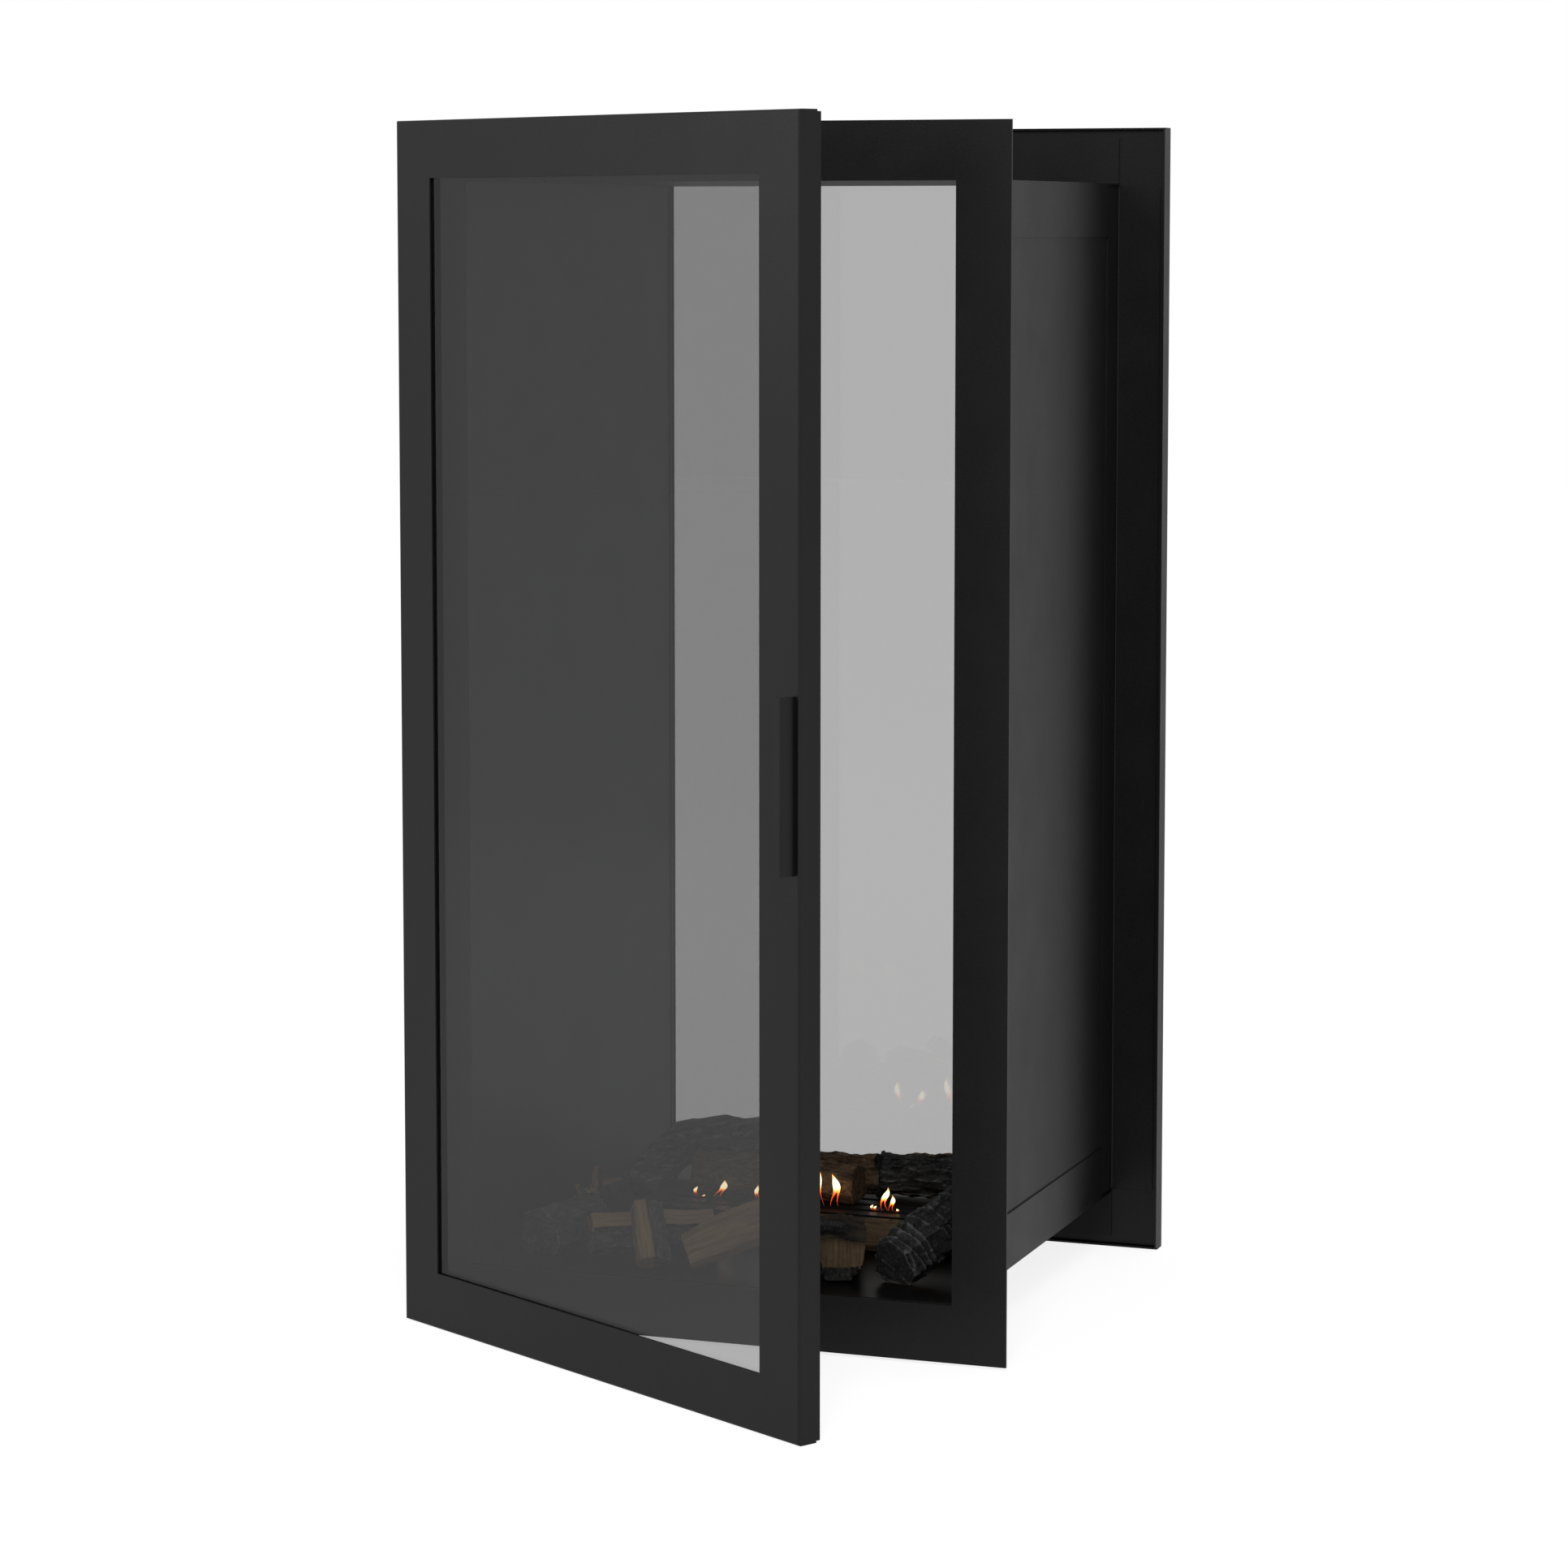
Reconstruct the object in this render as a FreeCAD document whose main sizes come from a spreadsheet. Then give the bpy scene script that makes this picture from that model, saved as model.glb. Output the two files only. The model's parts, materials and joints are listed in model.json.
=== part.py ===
import FreeCAD, Part
import math
import os
import re
from typing import NamedTuple

import Sketcher

# Tall built-in bioethanol fireplace that is open to two sides.
# A folded steel casing carries a flat frame plate at the front and at the rear.
# A glazed pan door closes over each frame, a slotted burner stands on the floor,
# and ceramic logs lie round and on the burner.
#
# Frame: origin at the centre of the casing's underside, +X to the right,
# +Y from the front to the rear, +Z up. Lengths are in millimetres, angles in degrees.

SIZES = {
    # Casing: two trays, two side panels and four corner angles, all of one sheet
    "casing_depth": 587,
    "casing_sheet": 2,
    "casing_side_setback": 53,
    "casing_end_setback": 59,
    "tray_fold": 60,
    "strip_edge_gap": 8,
    "angle_leg": 44,
    "angle_edge_gap": 4.5,
    "angle_end_gap": 6,
    "fold_gap": 0.5,
    "bend_radius": 3,
    # Frame plates
    "frame_plate": 3,
    "frame_width": 655,
    "frame_height": 1275,
    "frame_side_border": 58.5,
    "frame_end_border": 60.5,
    # Door pans
    "door_sheet": 2,
    "door_clearance": 1,
    "door_depth": 26.5,
    "door_standoff": 10.5,
    "door_border": 60,
    "door_fold_radius": 2.5,
    "rim_step": 4.6,
    "rest_opening_angle": 30.5,
    # Glazing
    "glass_thickness": 4,
    "glass_overlap": 17,
    "glass_bevel": 0.6,
    "gasket_wall": 1,
    "gasket_bite": 12,
    "retainer_sheet": 1.5,
    "retainer_margin": 12,
    "retainer_step": 3,
    "stud_radius": 2,
    "stud_play": 0.2,
    "stud_inset": 5,
    "nut_radius": 3.6,
    "nut_height": 1.8,
    # Pull handle
    "handle_length": 172,
    "handle_depth": 18,
    "handle_lip": 12,
    "handle_foot": 14,
    "handle_sheet": 2,
    "handle_edge_gap": 6.5,
    "handle_play": 0.2,
    "handle_bend": 1.5,
    # Magnet catches
    "magnet_radius": 7,
    "magnet_gap": 0.3,
    "magnet_inset": 16.5,
    # Hinges
    "hinge_height": 66,
    "hinge_inset": 4.5,
    "hinge_setback": 19,
    "hinge_top_drop": 165,
    "hinge_middle_drop": 512,
    "hinge_bottom_rise": 160,
    "pin_radius": 2.5,
    "pin_play": 0.05,
    "knuckle_radius": 4.5,
    "knuckle_gap": 0.3,
    "leaf_sheet": 2,
    "leaf_setback": 4.5,
    "bracket_sheet": 2,
    "bracket_reach": 30,
    "tongue_sheet": 2.5,
    "tongue_inset": 30,
    "tongue_play": 0.2,
    # Burner
    "burner_length_share": 0.6375,
    "burner_width_share": 0.225,
    "burner_height": 24,
    "burner_sheet": 1.5,
    "burner_top_sheet": 2,
    "slot_end_margin": 25,
    "slot_side_margin": 12,
    "slot_width": 11,
    "slide_sheet": 1.5,
    "slide_play": 0.3,
    "slide_side_gap": 1,
    "slide_margin": 4,
    "slide_tab_width": 12,
    "slide_tab_height": 9,
    "slide_tab_inset": 12,
    "ledge_width": 6,
    "fibre_height": 15,
    "fibre_gap": 0.4,
    # Logs
    "log_width_share": 0.1093,
    "log_depth_share": 0.1022,
    "log_gap": 0.2,
    # All cuts run past their piece by this much
    "overrun": 5,
}

# Sizes that are worked out from those: the casing and all openings follow the frame plates,
# and the burner and the logs follow the casing
WORKED = {
    "casing_width": "frame_width - 2 * casing_side_setback",
    "casing_height": "frame_height - 2 * casing_end_setback",
    "strip_height": "casing_end_setback - strip_edge_gap",
    "angle_flange": "casing_side_setback + casing_sheet - angle_edge_gap",
    "frame_opening_width": "frame_width - 2 * frame_side_border",
    "frame_opening_height": "frame_height - 2 * frame_end_border",
    "door_opening_width": "frame_width + 2 * (door_clearance + door_sheet - door_border)",
    "door_opening_height": "frame_height + 2 * (door_clearance + door_sheet - door_border)",
    "burner_length": "(frame_width - 2 * casing_side_setback) * burner_length_share",
    "burner_width": "casing_depth * burner_width_share",
    "slot_length": "(frame_width - 2 * casing_side_setback) * burner_length_share - 2 * slot_end_margin",
    "slot_pitch": "(casing_depth * burner_width_share - 2 * slot_side_margin) / 4",
    "log_thickness": "min((frame_width - 2 * casing_side_setback) * log_width_share;"
                     " casing_depth * log_depth_share)",
}


def tied(formula):
    """Point the size names in a formula at the cells that hold them."""
    def cell(match):
        word = match.group()
        if word in SIZES:
            return f"Sizes.{word}"
        return f"Worked.{word}" if word in WORKED else word
    return re.sub(r"[a-z_]+", cell, formula)


def fill(name, cells):
    """Make a sheet with one named cell for each size."""
    made = doc.addObject("Spreadsheet::Sheet", name)
    for row, (alias, content) in enumerate(cells.items(), start=1):
        made.set(f"A{row}", alias)
        made.set(f"B{row}", content)
        made.setAlias(f"B{row}", alias)
    doc.recompute()
    return made


doc = FreeCAD.newDocument("bioethanol_fireplace")
sheet = fill("Sizes", {alias: str(number) for alias, number in SIZES.items()})
worked = fill("Worked", {alias: f"={tied(formula)}" for alias, formula in WORKED.items()})

# Places and longer sizes, as formulas of the sheets' cells
FACE = "(casing_depth / 2 + frame_plate)"
MIDDLE = "(casing_height / 2)"
PANEL_OUTSIDE = "(casing_width / 2 - casing_sheet)"
FOLD_END = "(casing_depth / 2 - angle_leg - fold_gap)"
DOOR_WIDTH = "(frame_width + 2 * (door_clearance + door_sheet))"
DOOR_HEIGHT = "(frame_height + 2 * (door_clearance + door_sheet))"
DOOR_TOP = f"({MIDDLE} + {DOOR_HEIGHT} / 2)"
DOOR_BOTTOM = f"({MIDDLE} - {DOOR_HEIGHT} / 2)"
COVER = "(door_standoff + door_sheet)"
GLASS_WIDTH = "(door_opening_width + 2 * glass_overlap)"
GLASS_HEIGHT = "(door_opening_height + 2 * glass_overlap)"
GASKET_BACK = "(-door_standoff + 2 * gasket_wall + glass_thickness)"
RETAINER_BACK = f"({GASKET_BACK} + retainer_sheet)"
RETAINER_WIDTH = f"({GLASS_WIDTH} + 2 * retainer_margin)"
RETAINER_HEIGHT = f"({GLASS_HEIGHT} + 2 * retainer_margin)"
HANDLE_SIDE = f"({DOOR_WIDTH} / 2 - handle_edge_gap)"
PIN_X = f"(-{DOOR_WIDTH} / 2 + hinge_inset)"
LEAF_HEIGHT = "(hinge_height / 2)"
HINGE_HEIGHTS = {
    "top": f"({DOOR_TOP} - hinge_top_drop)",
    "middle": f"({DOOR_TOP} - hinge_middle_drop)",
    "bottom": f"({DOOR_BOTTOM} + hinge_bottom_rise)",
}
BURNER_RIM = "(casing_sheet + burner_height)"
BURNER_SURFACE = f"({BURNER_RIM} + burner_top_sheet)"
SLIDE_TRAVEL = "(slot_pitch / 2)"
SLIDE_TOP = f"({BURNER_RIM} - slide_play)"
SLIDE_FLOOR = f"({SLIDE_TOP} - slide_sheet)"
TAB_X = "(burner_length / 2 - burner_sheet - slide_tab_inset)"

# Places along an edge, as shares of that edge's half length
STUD_SHARES = ((-1, -0.72), (-1, 0), (-1, 0.72), (1, -0.72), (1, 0), (1, 0.72), (0, -1), (0, 1))
MAGNET_SHARES = (-0.62, 0.62)
SLOT_STEPS = (-1.5, -0.5, 0.5, 1.5)

FRONT = "front"
REAR = "rear"
nodes = {}


# Helpers

def size(alias):
    """Read one size from its sheet."""
    return float((sheet if alias in SIZES else worked).get(alias))


def bind(item, formulas):
    """Tie properties of an object to formulas of the sheet's cells."""
    for prop, formula in formulas.items():
        item.setExpression(prop, tied(formula))


def node(name, item):
    """Label an object as a finished piece."""
    item.Label = name
    nodes[name] = item
    return item


def middle(length, centre="0"):
    """Start and length of a span about a centre."""
    return f"{centre} - ({length}) / 2", length


def reach(start, end):
    """Start and length of a span between two places."""
    return start, f"({end}) - ({start})"


def depth(side, near, far):
    """Span along Y between two depths behind the outer face of a side's frame plate."""
    if side == FRONT:
        return f"-{FACE} + ({near})", f"({far}) - ({near})"
    return f"{FACE} - ({far})", f"({far}) - ({near})"


def depth_place(side, place):
    """Y of one depth behind the outer face of a side's frame plate."""
    return f"-{FACE} + ({place})" if side == FRONT else f"{FACE} - ({place})"


def block(name, across, along, up):
    """Box from its spans along X, Y and Z."""
    box = doc.addObject("Part::Box", name)
    bind(box, {
        "Length": across[1], "Width": along[1], "Height": up[1],
        "Placement.Base.x": across[0], "Placement.Base.y": along[0], "Placement.Base.z": up[0],
    })
    return box


def upright(name, radius, x, y, up):
    """Cylinder along Z over a span."""
    rod = doc.addObject("Part::Cylinder", name)
    bind(rod, {
        "Radius": radius, "Height": up[1],
        "Placement.Base.x": x, "Placement.Base.y": y, "Placement.Base.z": up[0],
    })
    return rod


def level(name, radius, x, along, z):
    """Cylinder along Y over a span."""
    rod = doc.addObject("Part::Cylinder", name)
    rod.Placement.Rotation = FreeCAD.Rotation(FreeCAD.Vector(0, 0, 1), FreeCAD.Vector(0, 1, 0))
    bind(rod, {
        "Radius": radius, "Height": along[1],
        "Placement.Base.x": x, "Placement.Base.y": along[0], "Placement.Base.z": z,
    })
    return rod


def hexagon(name, radius, x, along, z):
    """Six-sided prism along Y over a span."""
    prism = doc.addObject("Part::Prism", name)
    prism.Polygon = 6
    prism.Placement.Rotation = FreeCAD.Rotation(FreeCAD.Vector(0, 0, 1), FreeCAD.Vector(0, 1, 0))
    bind(prism, {
        "Circumradius": radius, "Height": along[1],
        "Placement.Base.x": x, "Placement.Base.y": along[0], "Placement.Base.z": z,
    })
    return prism


def fuse(name, items):
    """One solid from several overlapping ones."""
    joined = doc.addObject("Part::MultiFuse", name)
    joined.Shapes = items
    return joined


def cut(name, base, tools):
    """Base with the tools taken away."""
    result = doc.addObject("Part::Cut", name)
    result.Base = base
    result.Tool = tools[0] if len(tools) == 1 else group(f"{name}_tools", tools)
    return result


def group(name, items):
    """Separate solids kept as one object."""
    collection = doc.addObject("Part::Compound", name)
    collection.Links = items
    return collection


def edges_at(shape, direction, place):
    """Numbers of the edges that lie in the plane at a place along a direction."""
    found = []
    for number, edge in enumerate(shape.Edges, start=1):
        if all(abs(v.Point.dot(direction) - place) < Part.Precision.confusion() for v in edge.Vertexes):
            found.append(number)
    return found


def rounded(kind, name, base, numbers, radius):
    """Fillet or chamfer on numbered edges of a solid."""
    result = doc.addObject(kind, name)
    result.Base = base
    result.Edges = [(number, radius, radius) for number in numbers]
    return result


def plane_of(body, role):
    """One of a body's own origin planes."""
    return next(item for item in body.Origin.OriginFeatures if item.Role == role)


def outline(body, name, role, loops, offset="0"):
    """Sketch of closed polygons whose corners are all tied to the sheet."""
    sketch = body.newObject("Sketcher::SketchObject", name)
    sketch.AttachmentSupport = [(plane_of(body, role), "")]
    sketch.MapMode = "FlatFace"
    bind(sketch, {"AttachmentOffset.Base.z": offset})
    for corners in loops:
        first = sketch.GeometryCount
        count = len(corners)
        turns = [2 * math.pi * step / count for step in range(count)]
        guess = [FreeCAD.Vector(math.cos(turn), math.sin(turn), 0) for turn in turns]
        for step in range(count):
            sketch.addGeometry(Part.LineSegment(guess[step], guess[(step + 1) % count]))
        for step in range(count):
            following = first + (step + 1) % count
            sketch.addConstraint(Sketcher.Constraint("Coincident", first + step, 2, following, 1))
        for step, (x, y) in enumerate(corners):
            for kind, formula, start in (("DistanceX", x, guess[step].x), ("DistanceY", y, guess[step].y)):
                rule = sketch.addConstraint(Sketcher.Constraint(kind, -1, 1, first + step, 1, start))
                sketch.setExpression(f"Constraints[{rule}]", tied(formula))
    return sketch


def pad(body, name, sketch, length, backwards=False):
    """Extrude a sketch by a length."""
    feature = body.newObject("PartDesign::Pad", name)
    feature.Profile = sketch
    feature.Reversed = backwards
    bind(feature, {"Length": length})
    return feature


def bend(body, name, places, axis, radius):
    """Round a sheet's bends: the edges along an axis that pass through the given places."""
    doc.recompute()
    base = body.Tip
    found = []
    for number, edge in enumerate(base.Shape.Edges, start=1):
        ends = [v.Point for v in edge.Vertexes]
        along = (ends[1] - ends[0]).normalize()
        if abs(along.dot(axis)) < 1 - Part.Precision.confusion():
            continue
        for place in places:
            if (ends[0] - place).cross(axis).Length < Part.Precision.approximation() * size("bend_radius"):
                found.append(f"Edge{number}")
    feature = body.newObject("PartDesign::Fillet", name)
    feature.Base = (base, found)
    bind(feature, {"Radius": radius})
    return feature


# Casing

def tray(name):
    """Tray with two side folds and a strip at each open end, floor side at zero."""
    body = doc.addObject("PartDesign::Body", f"{name}_body")
    end = "(casing_depth / 2)"
    inside = "(casing_depth / 2 - casing_sheet)"
    section = [
        (f"-{end}", "-strip_height"), (f"-{end}", "casing_sheet"),
        (end, "casing_sheet"), (end, "-strip_height"),
        (inside, "-strip_height"), (inside, "0"), (f"-{inside}", "0"), (f"-{inside}", "-strip_height"),
    ]
    floor = outline(body, f"{name}_section", "YZ_Plane", [section], "-casing_width / 2")
    pad(body, f"{name}_floor", floor, "casing_width")
    half = size("casing_depth") / 2
    across = FreeCAD.Vector(1, 0, 0)
    outer = [FreeCAD.Vector(0, side * half, size("casing_sheet")) for side in (-1, 1)]
    inner = [FreeCAD.Vector(0, side * (half - size("casing_sheet")), 0) for side in (-1, 1)]
    bend(body, f"{name}_outer_bends", outer, across, "bend_radius")
    bend(body, f"{name}_inner_bends", inner, across, "bend_radius - casing_sheet")
    loops = []
    for mark in ("", "-"):
        loops.append([
            (f"{mark}{PANEL_OUTSIDE}", f"-{FOLD_END}"), (f"{mark}casing_width / 2", f"-{FOLD_END}"),
            (f"{mark}casing_width / 2", FOLD_END), (f"{mark}{PANEL_OUTSIDE}", FOLD_END),
        ])
    folds = outline(body, f"{name}_fold_outline", "XY_Plane", loops)
    pad(body, f"{name}_folds", folds, "tray_fold")
    return node(name, body)


def base_tray():
    """Lower tray, whose top is the firebox floor."""
    tray("base_tray")


def top_tray():
    """Upper tray: the same folding turned over."""
    body = tray("top_tray")
    body.Placement.Rotation = FreeCAD.Rotation(FreeCAD.Vector(1, 0, 0), 180)
    bind(body, {"Placement.Base.z": "casing_height"})


def side_panel(name, mark):
    """Flat side sheet inside the tray folds."""
    start = PANEL_OUTSIDE if mark == "-" else f"({PANEL_OUTSIDE} - casing_sheet)"
    across = (f"{mark}{start}", "casing_sheet")
    tall = reach("casing_sheet", "casing_height - casing_sheet")
    node(name, block(name, across, middle("casing_depth"), tall))


def corner_angle(name, side, mark, slots):
    """Upright angle: one leg on the side panel, one flange behind the frame plate."""
    sign = "-" if side == FRONT else ""
    leg_end = f"{sign}(casing_depth / 2 - angle_leg)"
    face = f"{sign}casing_depth / 2"
    back = f"{sign}(casing_depth / 2 - casing_sheet)"
    inner = f"{mark}{PANEL_OUTSIDE}"
    outer = f"{mark}casing_width / 2"
    tip = f"{mark}({PANEL_OUTSIDE} + angle_flange)"
    corners = [(inner, leg_end), (inner, face), (tip, face), (tip, back), (outer, back), (outer, leg_end)]
    body = doc.addObject("PartDesign::Body", f"{name}_body")
    section = outline(body, f"{name}_section", "XY_Plane", [corners], "angle_end_gap")
    pad(body, f"{name}_profile", section, "casing_height - 2 * angle_end_gap")
    along = -size("casing_depth") / 2 if side == FRONT else size("casing_depth") / 2
    hand = -1 if mark == "-" else 1
    panel = hand * (size("casing_width") / 2 - size("casing_sheet"))
    inward = along - math.copysign(size("casing_sheet"), along)
    rise = FreeCAD.Vector(0, 0, 1)
    bend(body, f"{name}_outer_bend", [FreeCAD.Vector(panel, along, 0)], rise, "bend_radius")
    inner_corner = FreeCAD.Vector(hand * size("casing_width") / 2, inward, 0)
    bend(body, f"{name}_inner_bend", [inner_corner], rise, "bend_radius - casing_sheet")
    node(name, cut(f"{name}_slotted", body, slots) if slots else body)


def tongue_slots(side, name):
    """Slots that the hinge brackets' tongues pass through."""
    width = "tongue_sheet + 2 * tongue_play"
    centre = "(-frame_width / 2 + tongue_inset)"
    along = depth(side, "-overrun", "frame_plate + casing_sheet + overrun")
    height = f"{LEAF_HEIGHT} + 2 * tongue_play"
    return [
        block(f"{name}_slot_{place}", middle(width, centre), along, middle(height, z))
        for place, z in HINGE_HEIGHTS.items()
    ]


def frame_plate(side):
    """Flat plate round the firebox opening."""
    name = f"{side}_frame"
    thick = depth(side, "0", "frame_plate")
    plate = block(f"{name}_plate", middle("frame_width"), thick, middle("frame_height", MIDDLE))
    through = depth(side, "-overrun", "frame_plate + overrun")
    window = block(
        f"{name}_window", middle("frame_opening_width"), through, middle("frame_opening_height", MIDDLE)
    )
    node(name, cut(f"{name}_cut", plate, [window, *tongue_slots(side, name)]))


def casing():
    """Trays, side panels, corner angles and frame plates."""
    base_tray()
    top_tray()
    side_panel("left_side_panel", "-")
    side_panel("right_side_panel", "")
    for side in (FRONT, REAR):
        left = f"{side}_left_angle"
        corner_angle(left, side, "-", tongue_slots(side, left))
        corner_angle(f"{side}_right_angle", side, "", [])
        frame_plate(side)


# Hinges

def hinge_brackets(side):
    """Fixed halves: a foot on the corner angle, a tongue through the frame, an arm and two knuckles."""
    name = f"{side}_hinge_brackets"
    pin_y = depth_place(side, "hinge_setback")
    seat = "(frame_plate + casing_sheet)"
    arm_outside = f"({PIN_X} + knuckle_radius)"
    arm_inside = f"({arm_outside} - bracket_sheet)"
    tongue_centre = "(-frame_width / 2 + tongue_inset)"
    brackets = []
    for place, z in HINGE_HEIGHTS.items():
        label = f"{name}_{place}"
        whole = middle("hinge_height", z)
        gap = middle(f"{LEAF_HEIGHT} + 2 * knuckle_gap", z)
        foot = block(
            f"{label}_foot", reach(arm_inside, f"{arm_inside} + bracket_reach"),
            depth(side, seat, f"{seat} + bracket_sheet"), whole,
        )
        arm = block(
            f"{label}_arm", reach(arm_inside, arm_outside), depth(side, seat, "hinge_setback"), whole
        )
        tongue = block(
            f"{label}_tongue", middle("tongue_sheet", tongue_centre),
            depth(side, "tongue_play", f"{seat} + bracket_sheet"), middle(LEAF_HEIGHT, z),
        )
        knuckle = upright(f"{label}_knuckle", "knuckle_radius", PIN_X, pin_y, whole)
        bore = upright(
            f"{label}_bore", "pin_radius + pin_play", PIN_X, pin_y, middle("hinge_height + 2 * overrun", z)
        )
        room = upright(f"{label}_room", "knuckle_radius + knuckle_gap", PIN_X, pin_y, gap)
        solid = fuse(f"{label}_solid", [foot, arm, tongue, knuckle])
        brackets.append(cut(label, solid, [bore, room]))
    node(name, group(f"{name}_group", brackets))


def hinge_pins(side):
    """Pins through the knuckles of one door's hinges."""
    name = f"{side}_hinge_pins"
    pin_y = depth_place(side, "hinge_setback")
    pins = [
        upright(f"{name}_{place}", "pin_radius", PIN_X, pin_y, middle("hinge_height", z))
        for place, z in HINGE_HEIGHTS.items()
    ]
    node(name, group(f"{name}_group", pins))


def hinge_leaves(side):
    """Moving halves: a strap on the door's rim, behind the frame plate, and its knuckle."""
    name = f"{side}_hinge_leaves"
    pin_y = depth_place(side, "hinge_setback")
    rim = f"(-{DOOR_WIDTH} / 2 + door_sheet)"
    leaves = []
    for place, z in HINGE_HEIGHTS.items():
        label = f"{name}_{place}"
        tall = middle(LEAF_HEIGHT, z)
        strap = block(
            f"{label}_strap", reach(rim, f"{rim} + leaf_sheet"),
            depth(side, "leaf_setback", "hinge_setback"), tall,
        )
        knuckle = upright(f"{label}_knuckle", "knuckle_radius", PIN_X, pin_y, tall)
        bore = upright(
            f"{label}_bore", "pin_radius + pin_play", PIN_X, pin_y, middle("hinge_height", z)
        )
        leaves.append(cut(label, fuse(f"{label}_solid", [strap, knuckle]), [bore]))
    hang(side, node(name, group(f"{name}_group", leaves)))


def hang(side, item):
    """Turn a piece of the front door about its hinge pins to where the door stands at rest."""
    if side == FRONT:
        turn = "create(<<rotation>>; create(<<vector>>; 0; 0; 1); -rest_opening_angle)"
        pin = f"create(<<vector>>; {PIN_X}; {depth_place(side, 'hinge_setback')}; 0)"
        still = "create(<<vector>>; 0; 0; 0)"
        bind(item, {"Placement": f"create(<<placement>>; {still}; {turn}; {pin})"})


# Doors

def door_pan(side):
    """Sheet pan with folded rims, a window, and a slot for the handle."""
    name = f"{side}_door_pan"
    rim = f"(door_depth - {COVER})"
    tall = middle(DOOR_HEIGHT, MIDDLE)
    outer = block(f"{name}_outer", middle(DOOR_WIDTH), depth(side, f"-{COVER}", rim), tall)
    doc.recompute()
    face = size("casing_depth") / 2 + size("frame_plate") + size("door_standoff") + size("door_sheet")
    toward = FreeCAD.Vector(0, -1 if side == FRONT else 1, 0)
    folded = rounded(
        "Part::Fillet", f"{name}_folded", outer, edges_at(outer.Shape, toward, face), size("door_fold_radius")
    )
    inner = block(
        f"{name}_inner", middle(f"{DOOR_WIDTH} - 2 * door_sheet"),
        depth(side, "-door_standoff", f"{rim} + overrun"), middle(f"{DOOR_HEIGHT} - 2 * door_sheet", MIDDLE),
    )
    through = depth(side, f"-{COVER} - overrun", rim)
    window = block(
        f"{name}_window", middle("door_opening_width"), through, middle("door_opening_height", MIDDLE)
    )
    handle_slot = block(
        f"{name}_handle_slot",
        reach(f"{HANDLE_SIDE} - handle_sheet - handle_play", f"{HANDLE_SIDE} + handle_play"),
        through, middle("handle_length + 2 * handle_play", MIDDLE),
    )
    step_depth = depth(side, f"{rim} - rim_step", f"{rim} + overrun")
    wide = middle(f"{DOOR_WIDTH} + 2 * overrun")
    low_step = block(
        f"{name}_low_step", wide, step_depth, reach(f"{DOOR_BOTTOM} - overrun", f"{DOOR_BOTTOM} + door_sheet")
    )
    high_step = block(
        f"{name}_high_step", wide, step_depth, reach(f"{DOOR_TOP} - door_sheet", f"{DOOR_TOP} + overrun")
    )
    tools = [inner, window, handle_slot, low_step, high_step]
    hang(side, node(name, cut(f"{name}_cut", folded, tools)))


def door_glass(side):
    """Tinted pane with ground edges."""
    name = f"{side}_door_glass"
    near = "-door_standoff + gasket_wall"
    pane = block(
        f"{name}_pane", middle(GLASS_WIDTH), depth(side, near, f"{near} + glass_thickness"),
        middle(GLASS_HEIGHT, MIDDLE),
    )
    doc.recompute()
    toward = FreeCAD.Vector(0, -1 if side == FRONT else 1, 0)
    face = size("casing_depth") / 2 + size("frame_plate") + size("door_standoff") - size("gasket_wall")
    edges = edges_at(pane.Shape, toward, face) + edges_at(pane.Shape, toward, face - size("glass_thickness"))
    hang(side, node(name, rounded("Part::Chamfer", f"{name}_ground", pane, edges, size("glass_bevel"))))


def glass_gasket(side):
    """Channel gasket round the edge of the pane."""
    name = f"{side}_glass_gasket"
    outer = block(
        f"{name}_outer", middle(f"{GLASS_WIDTH} + 2 * gasket_wall"),
        depth(side, "-door_standoff", GASKET_BACK), middle(f"{GLASS_HEIGHT} + 2 * gasket_wall", MIDDLE),
    )
    window = block(
        f"{name}_window", middle(f"{GLASS_WIDTH} - 2 * gasket_bite"),
        depth(side, "-door_standoff - overrun", f"{GASKET_BACK} + overrun"),
        middle(f"{GLASS_HEIGHT} - 2 * gasket_bite", MIDDLE),
    )
    near = "-door_standoff + gasket_wall"
    channel = block(
        f"{name}_channel", middle(GLASS_WIDTH), depth(side, near, f"{near} + glass_thickness"),
        middle(GLASS_HEIGHT, MIDDLE),
    )
    hang(side, node(name, cut(f"{name}_cut", outer, [window, channel])))


def stud_places():
    """Label, X and Z of each clamping stud round the pane."""
    half_width = f"({RETAINER_WIDTH} / 2 - stud_inset)"
    half_height = f"({RETAINER_HEIGHT} / 2 - stud_inset)"
    return [
        (str(number), f"({across}) * {half_width}", f"{MIDDLE} + ({up}) * {half_height}")
        for number, (across, up) in enumerate(STUD_SHARES, start=1)
    ]


def glass_retainer(side):
    """Clamping frame behind the pane, with a hole for each stud."""
    name = f"{side}_glass_retainer"
    plate = block(
        f"{name}_plate", middle(RETAINER_WIDTH), depth(side, GASKET_BACK, RETAINER_BACK),
        middle(RETAINER_HEIGHT, MIDDLE),
    )
    through = depth(side, f"{GASKET_BACK} - overrun", f"{RETAINER_BACK} + overrun")
    window = block(
        f"{name}_window", middle("door_opening_width + 2 * retainer_step"), through,
        middle("door_opening_height + 2 * retainer_step", MIDDLE),
    )
    holes = [
        level(f"{name}_hole_{label}", "stud_radius + stud_play", x, through, z)
        for label, x, z in stud_places()
    ]
    hang(side, node(name, cut(f"{name}_cut", plate, [window, *holes])))


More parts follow.
